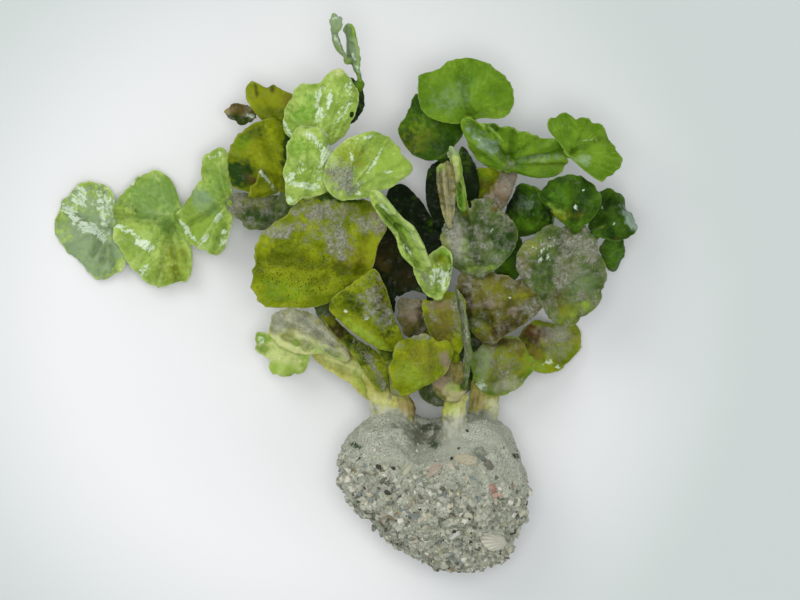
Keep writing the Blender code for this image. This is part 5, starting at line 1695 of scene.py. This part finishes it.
def laid_on_sand(place, turn, sink):
    """The place and the turned frame of something that lies on the lump."""
    spot, normal = BALL_TREE.ray_cast(Vector((*place, FAR_OFF)), Vector((0, 0, -1)))[:2]
    turned = math.radians(turn)
    side = Vector((math.cos(turned), math.sin(turned), 0.0))
    side = (side - normal * side.dot(normal)).normalized()
    frame = np.array((side, normal.cross(side), normal))
    return np.array(spot - normal * sink), frame


print("shapes can be laid on the sand")

# %% Chips of shell and stone
CHIPS = (
    # place seen from above, half length, half width, half thickness, turn, colour
    ((16.8, -35.3), 2.3, 1.3, 0.35, 5, (190, 164, 146)),
    ((24.0, -33.1), 2.0, 1.0, 0.4, -12, (180, 166, 134)),
    ((12.2, -35.1), 1.5, 0.75, 0.5, 76, (196, 194, 160)),
    ((28.9, -34.4), 1.6, 0.7, 0.45, -38, (72, 54, 40)),
    ((27.0, -32.8), 1.2, 0.5, 0.3, -30, (70, 78, 76)),
    ((29.4, -39.0), 1.1, 0.8, 0.5, -50, (176, 104, 92)),
    ((30.2, -40.2), 1.3, 0.5, 0.4, 20, (196, 140, 124)),
    ((13.6, -44.0), 2.0, 1.0, 0.5, -16, (98, 112, 118)),
    ((25.4, -36.9), 0.7, 0.5, 0.4, 0, (122, 132, 136)),
    ((10.4, -37.9), 1.1, 0.45, 0.4, -70, (214, 212, 194)),
    ((18.2, -38.6), 1.4, 0.7, 0.4, 10, (206, 206, 192)),
    ((15.4, -38.0), 1.3, 0.6, 0.35, -40, (126, 130, 132)),
    ((8.4, -37.8), 0.6, 0.5, 0.4, 0, (44, 42, 38)),
    ((19.2, -45.2), 0.8, 0.5, 0.4, 0, (48, 46, 40)),
    ((13.4, -41.6), 0.9, 0.4, 0.3, 30, (180, 154, 136)),
    ((28.0, -44.6), 1.0, 0.45, 0.35, -50, (202, 200, 180)),
    ((20.2, -41.0), 1.4, 0.6, 0.4, 24, (196, 196, 184)),
    ((22.0, -48.4), 1.2, 0.7, 0.4, 60, (210, 210, 202)),
    ((9.6, -48.0), 1.2, 0.6, 0.4, 30, (170, 172, 168)),
    ((34.4, -33.0), 0.7, 0.4, 0.3, 80, (62, 74, 62)),
    ((21.0, -34.4), 0.8, 0.5, 0.3, -40, (206, 190, 172)),
)
CHIP_ROUGH = 0.3
CHIP_SINK = 0.2
CHIP_SCALE = 0.82
CHIP_COVER = 0.62  # the rest of a chip is sandy


def model_chip(half_size, seed):
    """A flat, broken piece with uneven faces."""
    chip = added(bpy.ops.mesh.primitive_cube_add, size=2 * MM)
    edit_all(chip)
    bpy.ops.mesh.subdivide(number_cuts=2, smoothness=0.5)
    bpy.ops.transform.vertex_random(offset=CHIP_ROUGH * MM, uniform=0.6, seed=seed)
    bpy.ops.transform.resize(value=half_size)
    return taken_out(chip)


shapes = [model_chip(row[1:4], number) for number, row in enumerate(CHIPS)]
laid = [laid_on_sand(row[0], row[4], CHIP_SINK) for row in CHIPS]
colours = [np.array((*srgb(*row[5])[:3], CHIP_COVER)) for row in CHIPS]
chips = joined_copies(
    "shell_bits", shapes, [p for p, turned in laid], [turned for p, turned in laid],
    np.full(len(CHIPS), CHIP_SCALE), colours,
)
lay_loose(chips)
print(len(CHIPS), "chips")

# %% A ribbed clam shell
CLAM_PLACE = (29.6, -49.0)
CLAM_TURN = 68.0
CLAM_HALF = (2.9, 3.0, 1.0)  # half width, half length, rise
CLAM_RIBS = 40
CLAM_RIB_DEPTH = 0.09
CLAM_WALL = 0.25
CLAM_HINGE = 0.45  # the width at the hinge, as a share of the full width
CLAM_WIDENS = 2.2
CLAM_CENTRE = 3.3  # how far behind the clam's middle its ribs start
RIB_COLOUR = srgb(212, 209, 192)
BETWEEN_RIBS = srgb(176, 174, 156)

clam = added(bpy.ops.mesh.primitive_uv_sphere_add, segments=160, ring_count=32, radius=MM)
clam.name = "clam_shell"
edit_all(clam)
bpy.ops.mesh.bisect(plane_co=(0, 0, 0), plane_no=(0, 0, 1), clear_inner=True, clear_outer=False)
bpy.ops.mesh.select_all(action="SELECT")
bpy.ops.transform.resize(value=CLAM_HALF)
bpy.ops.object.mode_set(mode="OBJECT")
points = points_of(clam)
hinge = (points[:, 1] + CLAM_HALF[1]) / (2 * CLAM_HALF[1])
points[:, 0] *= CLAM_HINGE + (1 - CLAM_HINGE) * np.clip(hinge * CLAM_WIDENS, 0.0, 1.0)
angle = np.arctan2(points[:, 0], points[:, 1] + CLAM_CENTRE)
ribs = np.cos(CLAM_RIBS * angle)
points[:, 2] += CLAM_RIB_DEPTH * ribs * np.clip(points[:, 2], 0.0, 1.0)
place, turned = laid_on_sand(CLAM_PLACE, CLAM_TURN, 0.0)
set_points(clam, points @ turned + place)
wall = clam.modifiers.new("wall", "SOLIDIFY")
wall.thickness = CLAM_WALL * MM
wall.offset = -1.0
apply_modifier(clam, wall)
clam.data.shade_smooth()
on_rib = 0.5 + 0.5 * np.concatenate([ribs, ribs])[:, None]  # the wall's inner side comes second
shell_colour = np.array(RIB_COLOUR) * on_rib + np.array(BETWEEN_RIBS) * (1 - on_rib)
set_values(clam, "grain", "FLOAT_COLOR", shell_colour)
set_values(clam, "tint", "FLOAT_COLOR", shell_colour * 0.0)
lay_loose(clam)
print(len(clam.data.polygons), "faces on the clam")

# %% [markdown]
# ## Threads
# Fine threads of other algae grow on the oldest leaves and catch the light. A
# few are modelled: a triangle that is extruded, turned and narrowed in steps.
# They are then copied in tufts where the threads grow.

# %% A few threads, modelled by hand
THREAD_KINDS = 6
THREAD_STEPS = 6
THREAD_RADIUS = 0.07
THREAD_STEP = 0.36
THREAD_BEND = 22.0
THREAD_NARROWS = (0.9, 0.9, 0.9)  # at each step


def model_thread(seed):
    """A thin, bent, three-sided thread that starts at the origin."""
    draw = np.random.default_rng(seed)
    radius = THREAD_RADIUS * MM
    thread = added(bpy.ops.mesh.primitive_circle_add, vertices=3, radius=radius, fill_type="NGON")
    edit_all(thread)
    heading, place = Vector((0, 0, 1)), Vector((0, 0, 0))
    for step in range(THREAD_STEPS):
        axis = "XY"[step % 2]
        angle = math.radians(draw.uniform(-THREAD_BEND, THREAD_BEND))
        bpy.ops.mesh.extrude_region_move(
            TRANSFORM_OT_translate={"value": heading * THREAD_STEP * MM}
        )
        place += heading * THREAD_STEP
        bpy.ops.transform.rotate(value=-angle, orient_axis=axis, center_override=place * MM)
        bpy.ops.transform.resize(value=THREAD_NARROWS, center_override=place * MM)
        heading = Matrix.Rotation(angle, 3, axis) @ heading
    return taken_out(thread)


threads = [model_thread(seed) for seed in range(THREAD_KINDS)]
print(len(threads), "threads modelled, of", len(threads[0][1]), "faces")

# %% Tufts of threads
TUFT_SEED = 5.0
TUFTS = (
    # leaf, middle seen from above, half length, half width, turn, how many, length, colours
    ("lower_left_furry_leaf", (-7.4, -7.0), 8.4, 2.4, -36, 380, 0.7, ((216, 218, 198), (160, 156, 128))),
    ("centre_fan_leaf", (-0.6, 23.2), 3.4, 2.2, -50, 150, 0.7, ((206, 210, 196), (150, 150, 130))),
    ("right_crusted_leaf", (47.0, 9.4), 4.6, 3.0, -20, 150, 0.5, ((178, 172, 158), (104, 92, 70))),
    ("lower_left_strap", (4.4, -13.6), 6.0, 1.4, -60, 140, 0.6, ((176, 174, 150), (104, 100, 70))),
    ("centre_great_leaf", (-3.4, 14.6), 6.0, 2.6, -8, 150, 0.4, ((176, 174, 162), (128, 124, 104))),
)
THREAD_LEAN = 2.2  # how far threads lean away from straight up, as a spread
DARK_THREADS = 0.25  # how many of them have the darker colour
THREAD_SIZES = (0.5, 1.2)  # the shortest and the longest, next to a tuft's own length
draw = np.random.default_rng(11)
rows = []
for node, middle, long, wide, turn, count, length, shades in TUFTS:
    grown = bpy.data.objects[node + "_grown"]

    def tuft_weight(middles, normals):
        share = patch_share(middles, TUFT_SEED, (*middle, long, wide, turn, 1.0))
        return share * np.clip(normals[:, 2], 0.0, 1.0) + 1e-9

    places, normals = places_on(grown, draw, count, tuft_weight)
    for place, normal in zip(places, normals):
        colour = np.array(srgb(*shades[int(draw.random() < DARK_THREADS)]))
        size = length * draw.uniform(*THREAD_SIZES)
        frame_here = random_frame(draw, normal, THREAD_LEAN)
        rows.append((threads[draw.integers(THREAD_KINDS)], place, frame_here, size, colour))
fuzz = joined_copies("threads", *zip(*rows))
lay_loose(fuzz)
print(len(rows), "threads,", len(fuzz.data.polygons), "faces")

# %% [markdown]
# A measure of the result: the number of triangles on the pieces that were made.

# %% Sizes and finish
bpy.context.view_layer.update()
faces = sum(len(face.vertices) - 2 for piece in MADE for face in piece.data.polygons)
print(faces, "triangles on", len(MADE), "pieces")
